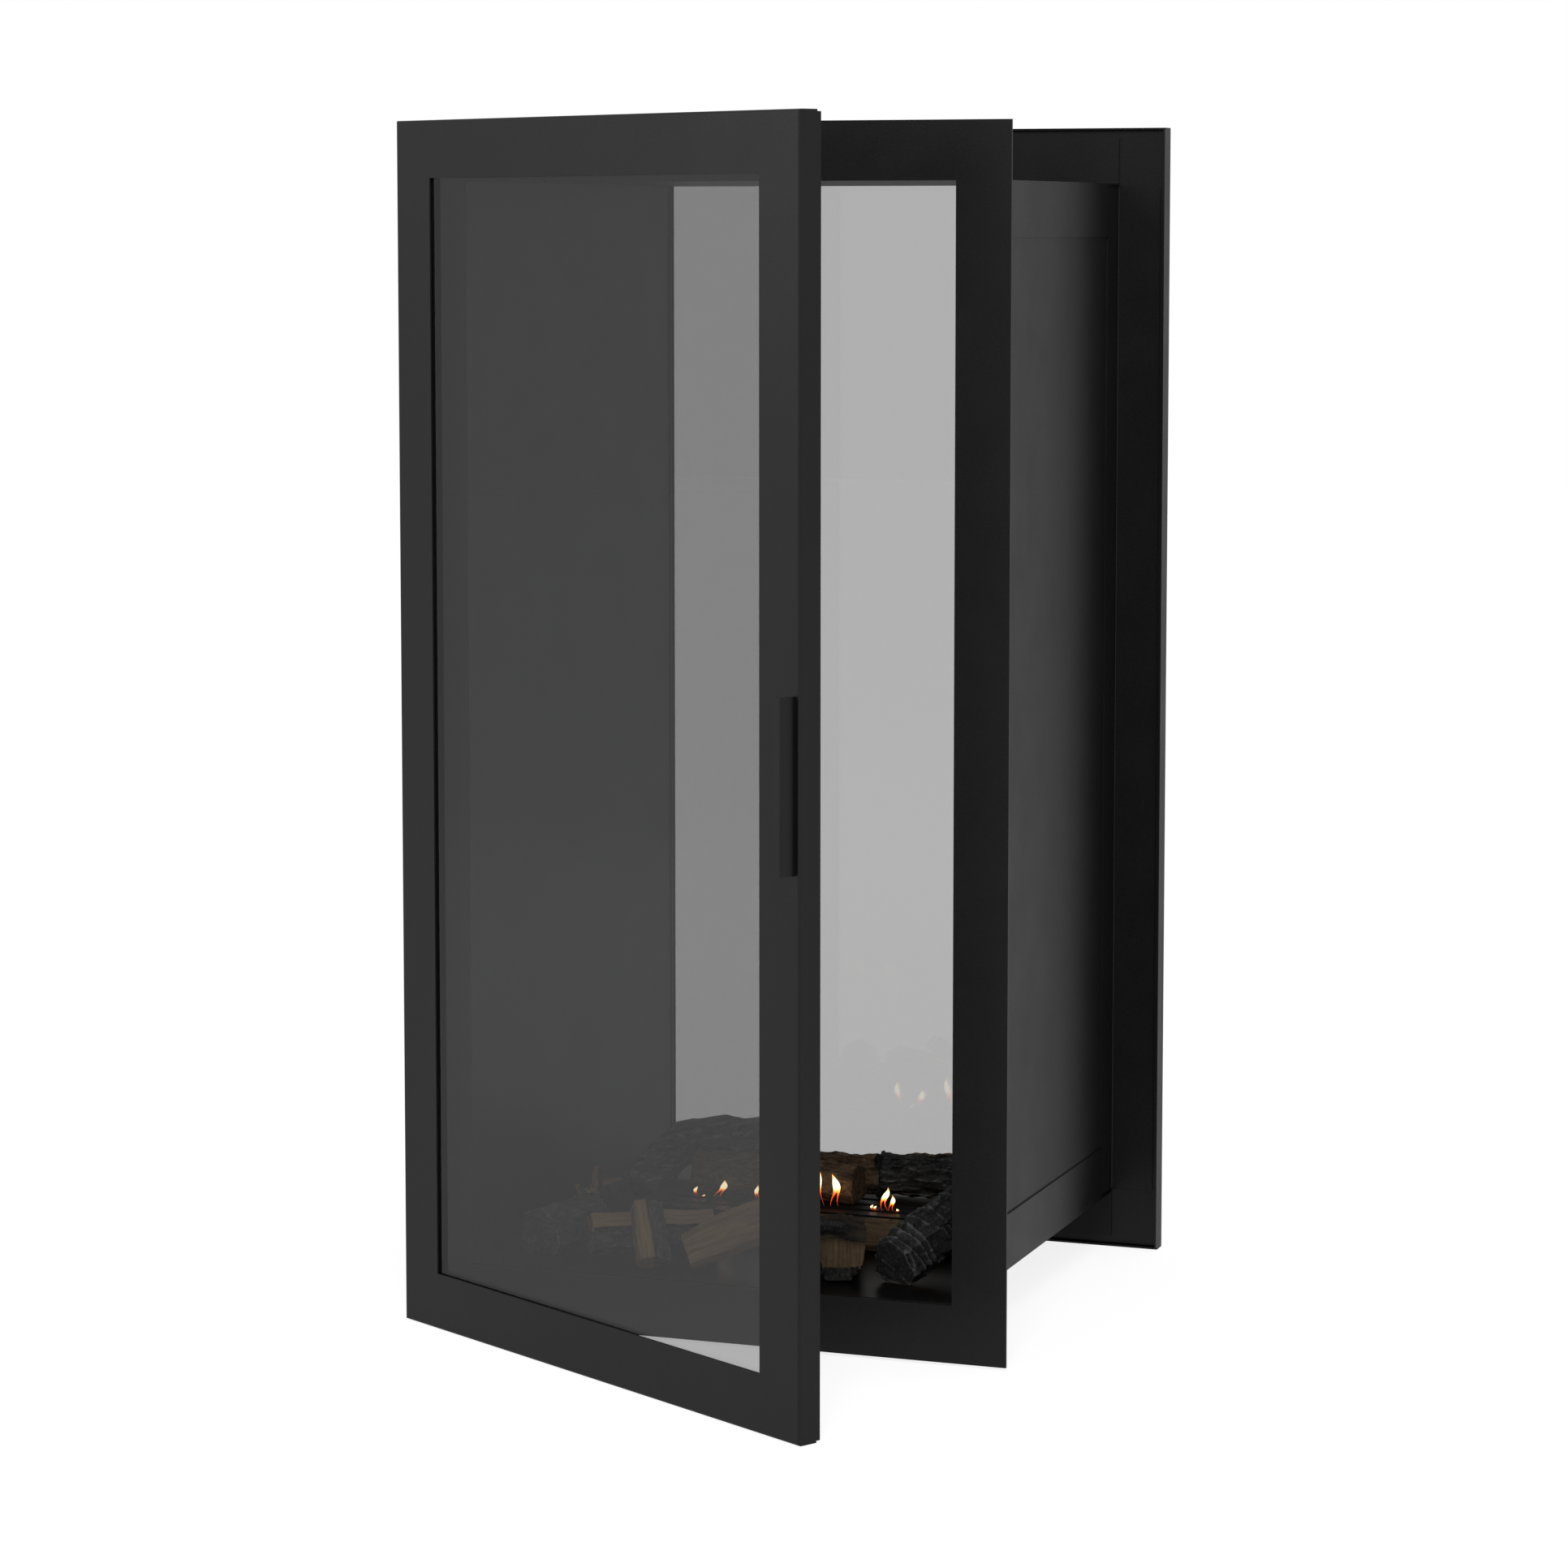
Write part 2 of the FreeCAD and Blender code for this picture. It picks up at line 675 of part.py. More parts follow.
def clamp_studs(side):
    """Studs on the pan's inner face with their nuts on the retainer."""
    name = f"{side}_clamp_studs"
    end = f"{RETAINER_BACK} + nut_height"
    studs = []
    for label, x, z in stud_places():
        shank = level(f"{name}_shank_{label}", "stud_radius", x, depth(side, "-door_standoff", end), z)
        nut = hexagon(f"{name}_nut_{label}", "nut_radius", x, depth(side, RETAINER_BACK, end), z)
        studs.append(fuse(f"{name}_{label}", [shank, nut]))
    hang(side, node(name, group(f"{name}_group", studs)))


def pull_handle(side):
    """Folded pull: a plate through the pan's face, a lip towards the hinge and a foot inside."""
    name = f"{side}_pull_handle"
    tip = f"(-{COVER} - handle_depth)"
    corners = [
        (HANDLE_SIDE, tip), (HANDLE_SIDE, "(handle_sheet - door_standoff)"),
        (f"{HANDLE_SIDE} - handle_foot", "(handle_sheet - door_standoff)"),
        (f"{HANDLE_SIDE} - handle_foot", "(-door_standoff)"),
        (f"{HANDLE_SIDE} - handle_sheet", "(-door_standoff)"),
        (f"{HANDLE_SIDE} - handle_sheet", f"({tip} + handle_sheet)"),
        (f"{HANDLE_SIDE} - handle_lip", f"({tip} + handle_sheet)"), (f"{HANDLE_SIDE} - handle_lip", tip),
    ]
    placed = [(x, depth_place(side, place)) for x, place in corners]
    body = doc.addObject("PartDesign::Body", f"{name}_body")
    section = outline(body, f"{name}_section", "XY_Plane", [placed], f"{MIDDLE} - handle_length / 2")
    pad(body, f"{name}_profile", section, "handle_length")
    half_width = size("frame_width") / 2 + size("door_clearance") + size("door_sheet")
    toward = -1 if side == FRONT else 1
    face = size("casing_depth") / 2 + size("frame_plate") + size("door_standoff") + size("door_sheet")
    x = half_width - size("handle_edge_gap")
    corner = FreeCAD.Vector(x, toward * (face + size("handle_depth")), 0)
    bend(body, f"{name}_bend", [corner], FreeCAD.Vector(0, 0, 1), "handle_bend")
    hang(side, node(name, body))


def magnets(side):
    """Pot magnets on the pan's inner face that meet the frame plate when the door is shut."""
    name = f"{side}_door_magnets"
    x = f"({DOOR_WIDTH} / 2 - magnet_inset)"
    along = depth(side, "-door_standoff", "-magnet_gap")
    pots = [
        level(f"{name}_{number}", "magnet_radius", x, along, f"{MIDDLE} + ({share}) * {DOOR_HEIGHT} / 2")
        for number, share in enumerate(MAGNET_SHARES, start=1)
    ]
    hang(side, node(name, group(f"{name}_group", pots)))


def door(side):
    """One glazed door with its hinges."""
    door_pan(side)
    door_glass(side)
    glass_gasket(side)
    glass_retainer(side)
    clamp_studs(side)
    pull_handle(side)
    magnets(side)
    hinge_leaves(side)
    hinge_brackets(side)
    hinge_pins(side)


# Burner

def slot_rows(name, up):
    """One cutting block per flame slot."""
    wide = middle("slot_length")
    return [
        block(f"{name}_slot_{number}", wide, middle("slot_width", f"({step}) * slot_pitch"), up)
        for number, step in enumerate(SLOT_STEPS, start=1)
    ]


def burner_tank():
    """Open fuel tank with a ledge at each end for the slide."""
    outer = block(
        "burner_tank_outer", middle("burner_length"), middle("burner_width"),
        reach("casing_sheet", BURNER_RIM),
    )
    inside = reach("casing_sheet + burner_sheet", f"{BURNER_RIM} + overrun")
    hollow = block(
        "burner_tank_hollow", middle("burner_length - 2 * burner_sheet - 2 * ledge_width"),
        middle("burner_width - 2 * burner_sheet"), inside,
    )
    above_ledge = block(
        "burner_tank_above_ledge", middle("burner_length - 2 * burner_sheet"),
        middle("burner_width - 2 * burner_sheet"),
        reach(f"{SLIDE_FLOOR} - slide_play", f"{BURNER_RIM} + overrun"),
    )
    node("burner_tank", cut("burner_tank_cut", outer, [hollow, above_ledge]))


def burner_top():
    """Slotted flame plate that closes the tank."""
    plate = block(
        "burner_top_plate", middle("burner_length"), middle("burner_width"), reach(BURNER_RIM, BURNER_SURFACE)
    )
    through = reach(f"{BURNER_RIM} - overrun", f"{BURNER_SURFACE} + overrun")
    slots = slot_rows("burner_top", through)
    first = "-slide_tab_width / 2 - slide_side_gap"
    last = f"slide_tab_width / 2 + {SLIDE_TRAVEL} + slide_side_gap"
    across = middle("slide_sheet + 2 * slide_side_gap", TAB_X)
    tab_window = block("burner_top_tab_window", across, reach(first, last), through)
    node("burner_top", cut("burner_top_cut", plate, [*slots, tab_window]))


def burner_slide():
    """Slotted slide under the flame plate that shuts the slots, with a tab for a hook."""
    up = reach(SLIDE_FLOOR, SLIDE_TOP)
    first = f"({SLOT_STEPS[0]} * slot_pitch - {SLIDE_TRAVEL} - slot_width / 2 - slide_margin / 2)"
    last = f"({SLOT_STEPS[-1]} * slot_pitch + slot_width / 2 + slide_margin)"
    wide = middle("burner_length - 2 * burner_sheet - 2 * slide_side_gap")
    plate = block("burner_slide_plate", wide, reach(first, last), up)
    tab = block(
        "burner_slide_tab", middle("slide_sheet", TAB_X), middle("slide_tab_width"),
        reach(SLIDE_FLOOR, f"{BURNER_SURFACE} + slide_tab_height"),
    )
    through = reach(f"{SLIDE_FLOOR} - overrun", f"{SLIDE_TOP} + overrun")
    slots = slot_rows("burner_slide", through)
    node("burner_slide", cut("burner_slide_cut", fuse("burner_slide_solid", [plate, tab]), slots))


def burner_fibre():
    """Block of ceramic fibre that soaks up the fuel."""
    floor = "(casing_sheet + burner_sheet)"
    item = block(
        "burner_fibre_block", middle("burner_length - 2 * burner_sheet - 2 * ledge_width - 2 * fibre_gap"),
        middle("burner_width - 2 * burner_sheet - 2 * fibre_gap"), reach(floor, f"{floor} + fibre_height"),
    )
    node("burner_fibre", item)


def burner():
    """Tank, flame plate, slide and fibre."""
    burner_tank()
    burner_top()
    burner_slide()
    burner_fibre()


# Logs

class Log(NamedTuple):
    """A log from its front end to its far end.

    Places are shares of the firebox's half width and half depth, thicknesses and
    heights are shares of the logs' common thickness.
    """

    name: str
    section: str
    start_shares: tuple
    end_shares: tuple
    thickness_shares: tuple
    rise_share: float = 0
    seat: str = "floor"


# Cross-sections as shares of a log's thickness: across from its middle, up from its seat
SECTION_SHARES = {
    "split": (
        (-0.50, 0.16), (-0.30, 0.0), (0.34, 0.0), (0.50, 0.24), (0.38, 0.70), (0.04, 0.94), (-0.38, 0.78),
    ),
    "half": (
        (-0.50, 0.78), (-0.46, 0.34), (-0.24, 0.0), (0.24, 0.0), (0.45, 0.30), (0.50, 0.76), (0.02, 0.84),
    ),
    "plank": ((-0.50, -0.22), (-0.10, -0.30), (0.42, -0.24), (0.50, 0.12), (0.14, 0.30), (-0.46, 0.24)),
    "bark": (
        (-0.22, 0.01), (0.04, 0.0), (0.27, 0.03), (0.44, 0.23), (0.50, 0.48), (0.44, 0.75),
        (0.27, 0.93), (0.02, 1.0), (-0.28, 0.95), (-0.45, 0.74), (-0.50, 0.50), (-0.43, 0.20),
    ),
    "bough": (
        (0.0, -0.50), (0.29, -0.40), (0.47, -0.15), (0.47, 0.16), (0.29, 0.41),
        (-0.02, 0.50), (-0.30, 0.40), (-0.47, 0.15), (-0.48, -0.16), (-0.28, -0.42),
    ),
}

LOGS = (
    Log("left_log", "split", (-0.806, -0.800), (-0.716, -0.470), (0.96, 1.00, 0.92)),
    Log("cross_left_log", "split", (-0.610, -0.762), (-0.177, -0.511), (0.90, 0.92, 0.86)),
    Log("leaning_log", "plank", (-0.279, -0.869), (-0.383, -0.703), (0.62, 0.60, 0.54), 0.84),
    Log("centre_left_log", "split", (-0.148, -0.812), (0.225, -0.676), (0.74, 0.88, 0.92), 0.66),
    Log("centre_log", "half", (0.473, -0.835), (0.318, -0.422), (1.00, 1.01, 0.96)),
    Log("cross_right_log", "split", (0.345, -0.300), (0.755, -0.300), (0.64, 0.66, 0.62)),
    Log("right_log", "split", (0.690, -0.775), (0.850, -0.400), (0.94, 1.00, 0.96), 0.62),
    Log("burner_log", "split", (-0.500, 0.096), (0.222, 0.068), (0.86, 0.90, 0.82), 0, "burner"),
    Log("charred_log", "bark", (0.262, 0.205), (0.872, 0.240), (0.90, 0.96, 0.92), 0, "burner"),
    Log("back_log", "bark", (-0.351, 0.572), (0.906, 0.607), (0.78, 0.90, 1.03)),
    Log("side_log", "bark", (-0.917, -0.143), (-0.906, 0.204), (0.48, 0.50, 0.44)),
    Log("charred_chip", "plank", (0.320, -0.752), (0.486, -0.790), (0.32, 0.32, 0.30), 0, "centre_log"),
)

# Bent log: places as above with heights of its centre line, and its thickness
BENT_LOG_SHARES = (
    (-0.769, 0.150, 0.30), (-0.717, 0.252, 0.76), (-0.662, 0.354, 0.98), (-0.510, 0.450, 1.08),
    (-0.240, 0.512, 1.12),
)
BENT_LOG_THICKNESS_SHARES = (0.76, 0.76, 0.75, 0.72, 0.66)


def firebox_place(shares):
    """Point on the floor from its shares of the firebox."""
    half_width = size("casing_width") / 2 - 2 * size("casing_sheet")
    half_depth = size("casing_depth") / 2
    return FreeCAD.Vector(shares[0] * half_width, shares[1] * half_depth, 0)


def seat_height(log):
    """Height of the surface that a log lies on."""
    floor = size("casing_sheet")
    if log.seat == "burner":
        return floor + size("burner_height") + size("burner_top_sheet")
    if log.seat == "floor":
        return floor
    under = next(other for other in LOGS if other.name == log.seat)
    crown = max(up for across, up in SECTION_SHARES[under.section])
    return floor + size("log_gap") + crown * max(under.thickness_shares) * size("log_thickness")


def section_frame(direction):
    """Rotation that turns a sketch square to a log's direction, with its Y axis upwards."""
    rise = FreeCAD.Vector(0, 0, 1)
    across = direction.cross(rise).normalize()
    up = across.cross(direction)
    return FreeCAD.Rotation(across, up, direction.negative(), "ZXY"), across, up


def section_sketch(body, name, place, rotation):
    """Empty sketch of a log's cross-section at a place."""
    sketch = body.newObject("Sketcher::SketchObject", name)
    sketch.AttachmentSupport = [(plane_of(body, "XY_Plane"), "")]
    sketch.MapMode = "FlatFace"
    sketch.AttachmentOffset = FreeCAD.Placement(place, rotation)
    return sketch


def draw_section(sketch, corner_shares, thickness_share):
    """Draw a log's cross-section."""
    thickness = thickness_share * size("log_thickness")
    corners = [FreeCAD.Vector(across * thickness, up * thickness, 0) for across, up in corner_shares]
    count = len(corners)
    for step in range(count):
        sketch.addGeometry(Part.LineSegment(corners[step], corners[(step + 1) % count]))
    for step in range(count):
        sketch.addConstraint(Sketcher.Constraint("Coincident", step, 2, (step + 1) % count, 1))
    for step, shares in enumerate(corner_shares):
        for kind, share in zip(("DistanceX", "DistanceY"), shares):
            start = share * thickness
            rule = sketch.addConstraint(Sketcher.Constraint(kind, -1, 1, step, 1, start))
            sketch.setExpression(f"Constraints[{rule}]", tied(f"{share} * {thickness_share} * log_thickness"))


def loft(body, name, sketches):
    """Solid through a row of cross-sections."""
    feature = body.newObject("PartDesign::AdditiveLoft", name)
    feature.Profile = sketches[0]
    feature.Sections = sketches[1:]
    feature.Ruled = True
    return feature


def straight_log(log):
    """Log through three cross-sections, lying on its seat."""
    body = doc.addObject("PartDesign::Body", f"{log.name}_body")
    start = firebox_place(log.start_shares)
    end = firebox_place(log.end_shares)
    end.z = log.rise_share * size("log_thickness")
    direction = (end - start).normalize()
    rotation, across, up = section_frame(direction)
    seat = seat_height(log) + size("log_gap")
    thickness = log.thickness_shares[0] * size("log_thickness")
    lowest = min(up.z * share[1] * thickness for share in SECTION_SHARES[log.section])
    start.z = start.z + seat - lowest
    end.z = end.z + seat - lowest
    sketches = []
    for step, thickness_share in enumerate(log.thickness_shares):
        share = step / (len(log.thickness_shares) - 1)
        place = start + (end - start) * share
        sketch = section_sketch(body, f"{log.name}_section_{step}", place, rotation)
        draw_section(sketch, SECTION_SHARES[log.section], thickness_share)
        sketches.append(sketch)
    loft(body, f"{log.name}_loft", sketches)
    node(log.name, body)


def bent_log():
    """Bent bough that stands on the floor beside the burner and lies over the back log."""
    body = doc.addObject("PartDesign::Body", "bent_log_body")
    thickness = size("log_thickness")
    places = []
    for x_share, y_share, height_share in BENT_LOG_SHARES:
        place = firebox_place((x_share, y_share))
        place.z = size("casing_sheet") + height_share * thickness
        places.append(place)
    sketches = []
    for step, place in enumerate(places):
        before = places[max(step - 1, 0)]
        after = places[min(step + 1, len(places) - 1)]
        rotation, across, up = section_frame((after - before).normalize())
        sketch = section_sketch(body, f"bent_log_section_{step}", place, rotation)
        draw_section(sketch, SECTION_SHARES["bough"], BENT_LOG_THICKNESS_SHARES[step])
        sketches.append(sketch)
    loft(body, "bent_log_loft", sketches)
    node("bent_log", body)


def logs():
    """All ceramic logs."""
    for log in LOGS:
        straight_log(log)
    bent_log()


# Build, check and write

def check():
    """Stop if any object failed or any piece is not a valid solid."""
    doc.recompute()
    for item in doc.Objects:
        if "Invalid" in item.State or "Error" in item.State:
            raise RuntimeError(f"{item.Label} failed: {item.State}")
    for name, item in nodes.items():
        shape = item.Shape
        if shape.isNull() or not shape.isValid() or not shape.Solids:
            raise RuntimeError(f"{name} is not a valid solid")


def write():
    """Write each piece to its own file."""
    os.makedirs("parts", exist_ok=True)
    for name, item in nodes.items():
        item.Shape.exportStep(f"parts/{name}.step")


casing()
door(FRONT)
door(REAR)
burner()
logs()
check()
write()
print(len(nodes), "pieces")
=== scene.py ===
import json
import logging
import math
from dataclasses import dataclass, field
from enum import Enum
from typing import Optional

import bpy
import numpy as np
from mathutils import Matrix, Vector

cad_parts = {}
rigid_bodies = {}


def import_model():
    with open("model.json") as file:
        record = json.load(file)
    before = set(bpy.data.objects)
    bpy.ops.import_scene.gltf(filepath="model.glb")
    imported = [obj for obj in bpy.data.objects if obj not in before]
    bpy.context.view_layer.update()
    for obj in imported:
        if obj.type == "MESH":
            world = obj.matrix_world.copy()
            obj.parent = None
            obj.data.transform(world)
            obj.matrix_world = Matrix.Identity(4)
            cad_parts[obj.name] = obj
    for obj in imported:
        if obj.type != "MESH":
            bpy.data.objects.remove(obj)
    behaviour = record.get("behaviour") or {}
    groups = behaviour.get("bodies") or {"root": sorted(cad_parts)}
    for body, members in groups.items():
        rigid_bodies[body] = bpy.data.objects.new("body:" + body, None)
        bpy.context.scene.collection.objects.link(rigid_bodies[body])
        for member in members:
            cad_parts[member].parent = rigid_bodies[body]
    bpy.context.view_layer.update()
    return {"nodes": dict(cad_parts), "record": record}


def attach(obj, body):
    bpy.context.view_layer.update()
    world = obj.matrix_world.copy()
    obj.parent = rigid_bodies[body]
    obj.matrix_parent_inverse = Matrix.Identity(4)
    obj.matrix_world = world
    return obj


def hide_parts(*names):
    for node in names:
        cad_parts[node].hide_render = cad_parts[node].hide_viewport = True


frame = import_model()
REPORT = logging.getLogger("fireplace")

Colour = tuple[float, float, float]
Point = tuple[float, float, float]
Pair = tuple[float, float]
Socket = bpy.types.NodeSocket


def scaled(values: Point, share: float) -> Point:
    """Multiply a colour or a size by a share."""
    return tuple(share * value for value in values)


def clamp(value: float) -> float:
    """Hold a value between 0 and 1."""
    return min(max(value, 0), 1)


def soft_step(value: float, width: float) -> float:
    """Rise from 0 to 1 over a width about zero."""
    return clamp(value / width + 0.5)


@dataclass(frozen=True)
class Cloud:
    """Cloudy pattern, with its repeats per metre along each axis."""

    scale: Point
    detail: float = 4
    rough: float = 0.55
    distortion: float = 0


class Graph:
    """Node tree of one material."""

    # A mix node has sockets for each type of data. These are its share, two colours and result.
    MIX_INPUTS = (0, 6, 7)
    MIX_OUTPUT = 2

    def __init__(self, name: str) -> None:
        """Start an empty tree with an output.

        Args:
            name: The material's name.
        """
        self.material = bpy.data.materials.new(name)
        self.material.use_nodes = True
        self.tree = self.material.node_tree
        self.tree.nodes.clear()
        self.output = self.add("ShaderNodeOutputMaterial")

    def feed(self, socket: Socket, value: object) -> None:
        """Set or link one input of a node.

        Args:
            socket: The input.
            value: A constant, or an output socket to link.
        """
        if isinstance(value, Socket):
            self.tree.links.new(value, socket)
        else:
            socket.default_value = value

    def add(self, kind: str, settings: Optional[dict] = None, **sockets: object) -> bpy.types.Node:
        """Add a node.

        Args:
            kind: The node's type.
            settings: Properties of the node itself.
            **sockets: Values or linked sockets for its inputs, spaces in their names as underscores.

        Returns:
            The new node.
        """
        node = self.tree.nodes.new(kind)
        for key, value in (settings or {}).items():
            setattr(node, key, value)
        for key, value in sockets.items():
            self.feed(node.inputs[key.replace("_", " ")], value)
        return node

    def place(self, scale: Point = (1, 1, 1), attribute: str = "") -> Socket:
        """Coordinates for a pattern.

        Args:
            scale: Repeats per metre along each axis.
            attribute: A vector attribute of the mesh to read in place of Object coordinates.

        Returns:
            The vector socket.
        """
        if attribute:
            source = self.add("ShaderNodeAttribute", {"attribute_name": attribute}).outputs["Vector"]
        else:
            source = self.add("ShaderNodeTexCoord").outputs["Object"]
        return self.add("ShaderNodeMapping", None, Vector=source, Scale=scale).outputs["Vector"]

    def noise(self, place: Socket, scale: float, detail: float = 4, rough: float = 0.55,
              distortion: float = 0) -> Socket:
        """Cloudy pattern from 0 to 1.

        Args:
            place: The coordinates.
            scale: Its scale.
            detail: Octaves.
            rough: How strong the small octaves are.
            distortion: How much the pattern is warped.

        Returns:
            The factor socket.
        """
        node = self.add("ShaderNodeTexNoise", None, Vector=place, Scale=scale, Detail=detail,
                        Roughness=rough, Distortion=distortion)
        return node.outputs["Fac"]

    def cracks(self, place: Socket) -> Socket:
        """Distance from the edges of cells.

        Args:
            place: The coordinates.

        Returns:
            The distance socket.
        """
        node = self.add("ShaderNodeTexVoronoi", {"feature": "DISTANCE_TO_EDGE"}, Vector=place, Scale=1)
        return node.outputs["Distance"]

    def fit(self, value: Socket, low: float, high: float, start: float = 0, end: float = 1) -> Socket:
        """Stretch a value from one range to another, clamped.

        Args:
            value: The value.
            low: Start of its own range.
            high: End of its own range.
            start: Start of the new range.
            end: End of the new range.

        Returns:
            The stretched value's socket.
        """
        node = self.add("ShaderNodeMapRange", {"clamp": True}, Value=value, From_Min=low, From_Max=high,
                        To_Min=start, To_Max=end)
        return node.outputs["Result"]

    def math(self, kind: str, first: object, second: object = 0.0) -> Socket:
        """Arithmetic on one or two values.

        Args:
            kind: Blender's name for the operation.
            first: A number or socket.
            second: A number or socket.

        Returns:
            The result's socket.
        """
        node = self.add("ShaderNodeMath", {"operation": kind})
        for socket, value in zip(node.inputs, (first, second)):
            self.feed(socket, value)
        return node.outputs["Value"]

    def ramp(self, value: Socket, stops: list[tuple[float, Colour]]) -> Socket:
        """Colours along a value.

        Args:
            value: The value.
            stops: Places and colours.

        Returns:
            The colour socket.
        """
        node = self.add("ShaderNodeValToRGB", None, Fac=value)
        band = node.color_ramp
        while len(band.elements) < len(stops):
            band.elements.new(0.5)
        for element, (place, colour) in zip(band.elements, stops):
            element.position = place
            element.color = (*colour, 1)
        return node.outputs["Color"]

    def mix(self, share: object, first: object, second: object, kind: str = "MIX") -> Socket:
        """Blend of two colours.

        Args:
            share: How much of the second, as a number or socket.
            first: A colour or socket.
            second: A colour or socket.
            kind: Blender's name for the blend.

        Returns:
            The colour socket.
        """
        node = self.add("ShaderNodeMix", {"data_type": "RGBA", "blend_type": kind})
        for index, value in zip(self.MIX_INPUTS, (share, first, second)):
            self.feed(node.inputs[index], (*value, 1) if isinstance(value, tuple) else value)
        return node.outputs[self.MIX_OUTPUT]

    def bump(self, height: Socket, depth: float, strength: float = 1) -> Socket:
        """Surface relief.

        Args:
            height: The pattern.
            depth: Its depth in metres.
            strength: How strong it is.

        Returns:
            The normal socket.
        """
        node = self.add("ShaderNodeBump", None, Height=height, Strength=strength, Distance=depth)
        return node.outputs["Normal"]

    def attribute(self, name: str) -> Socket:
        """Value that the mesh carries at each spot."""
        return self.add("ShaderNodeAttribute", {"attribute_name": name}).outputs["Fac"]

    def cloud(self, cloud: Cloud, attribute: str = "") -> Socket:
        """Stretched cloudy pattern on Object coordinates or on a vector attribute."""
        place = self.place(cloud.scale, attribute)
        return self.noise(place, 1, cloud.detail, cloud.rough, cloud.distortion)

    def swing(self, value: Socket, size: float) -> Socket:
        """Pattern as a swing of a given size about zero."""
        return self.math("MULTIPLY", self.math("SUBTRACT", value, 0.5), size)

    def weigh(self, first: Socket, second: Socket, shares: Pair) -> Socket:
        """Weighted sum of two patterns.

        Args:
            first: A pattern.
            second: Another pattern.
            shares: How much of each.

        Returns:
            The sum's socket.
        """
        parts = [self.math("MULTIPLY", part, share) for part, share in zip((first, second), shares)]
        return self.math("ADD", *parts)

    def surface(self, **sockets: object) -> bpy.types.Material:
        """Finish the tree with a principled surface.

        Args:
            **sockets: The surface's inputs.

        Returns:
            The material.
        """
        shader = self.add("ShaderNodeBsdfPrincipled", None, **sockets)
        self.tree.links.new(shader.outputs["BSDF"], self.output.inputs["Surface"])
        return self.material


@dataclass(frozen=True)
class PowderCoat:
    """Satin powder coat with a faint orange-peel texture."""

    name: str
    colour: Colour = (0.006, 0.006, 0.0063)
    roughness: float = 0.36
    peel_per_metre: float = 900
    peel_depth: float = 0.00012
    specular: float = 0.5
    clouds_per_metre: float = 5
    patches_per_metre: float = 14
    detail: float = 3
    peel_detail: float = 2
    noise_band: Pair = (0.3, 0.7)
    tone_shares: Pair = (0.8, 1.35)
    sheen_swing: float = 0.03

    def make(self) -> bpy.types.Material:
        """Build the material.

        Returns:
            The material.
        """
        graph = Graph(self.name)
        place = graph.place()
        tones = [scaled(self.colour, share) for share in self.tone_shares]
        tone = graph.ramp(graph.noise(place, self.clouds_per_metre, self.detail),
                          list(zip(self.noise_band, tones)))
        sheen = graph.fit(graph.noise(place, self.patches_per_metre, self.detail), *self.noise_band,
                          self.roughness - self.sheen_swing, self.roughness + self.sheen_swing)
        peel = graph.noise(place, self.peel_per_metre, self.peel_detail)
        return graph.surface(Base_Color=tone, Roughness=sheen, Normal=graph.bump(peel, self.peel_depth),
                             Specular_IOR_Level=self.specular)


@dataclass(frozen=True)
class TintedGlass:
    """Grey heat-proof glass, tinted through its body."""

    name: str
    colour: Colour = (0.012, 0.012, 0.013)
    cover: float = 0.357
    roughness: float = 0.003
    index: float = 2.6
    smears_per_metre: float = 7
    smear_band: Pair = (0.35, 0.75)
    smear_roughness: float = 0.0066

    def make(self) -> bpy.types.Material:
        """Build the material.

        Returns:
            The material.
        """
        graph = Graph(self.name)
        smear = graph.fit(graph.noise(graph.place(), self.smears_per_metre), *self.smear_band,
                          self.roughness, self.smear_roughness)
        graph.material.surface_render_method = "BLENDED"
        return graph.surface(Base_Color=(*self.colour, 1), Roughness=smear, Alpha=self.cover,
                             IOR=self.index)


@dataclass(frozen=True)
class WovenTape:
    """Woven heat tape round the panes."""

    name: str
    colour: Colour = (0.012, 0.012, 0.012)
    threads_per_metre: float = 520
    waviness: float = 1.5
    thread_band: Pair = (0.1, 0.9)
    lighter_share: float = 3
    thread_depth: float = 0.0004
    roughness: float = 0.85

    def make(self) -> bpy.types.Material:
        """Build the material.

        Returns:
            The material.
        """
        graph = Graph(self.name)
        rows = []
        for direction in ("X", "Z"):
            node = graph.add("ShaderNodeTexWave", {"bands_direction": direction}, Vector=graph.place(),
                             Scale=self.threads_per_metre, Distortion=self.waviness, Detail=1)
            rows.append(node.outputs["Fac"])
        weave = graph.math("MULTIPLY", rows[0], rows[1])
        tones = (self.colour, scaled(self.colour, self.lighter_share))
        tone = graph.ramp(weave, list(zip(self.thread_band, tones)))
        return graph.surface(Base_Color=tone, Roughness=self.roughness,
                             Normal=graph.bump(weave, self.thread_depth))


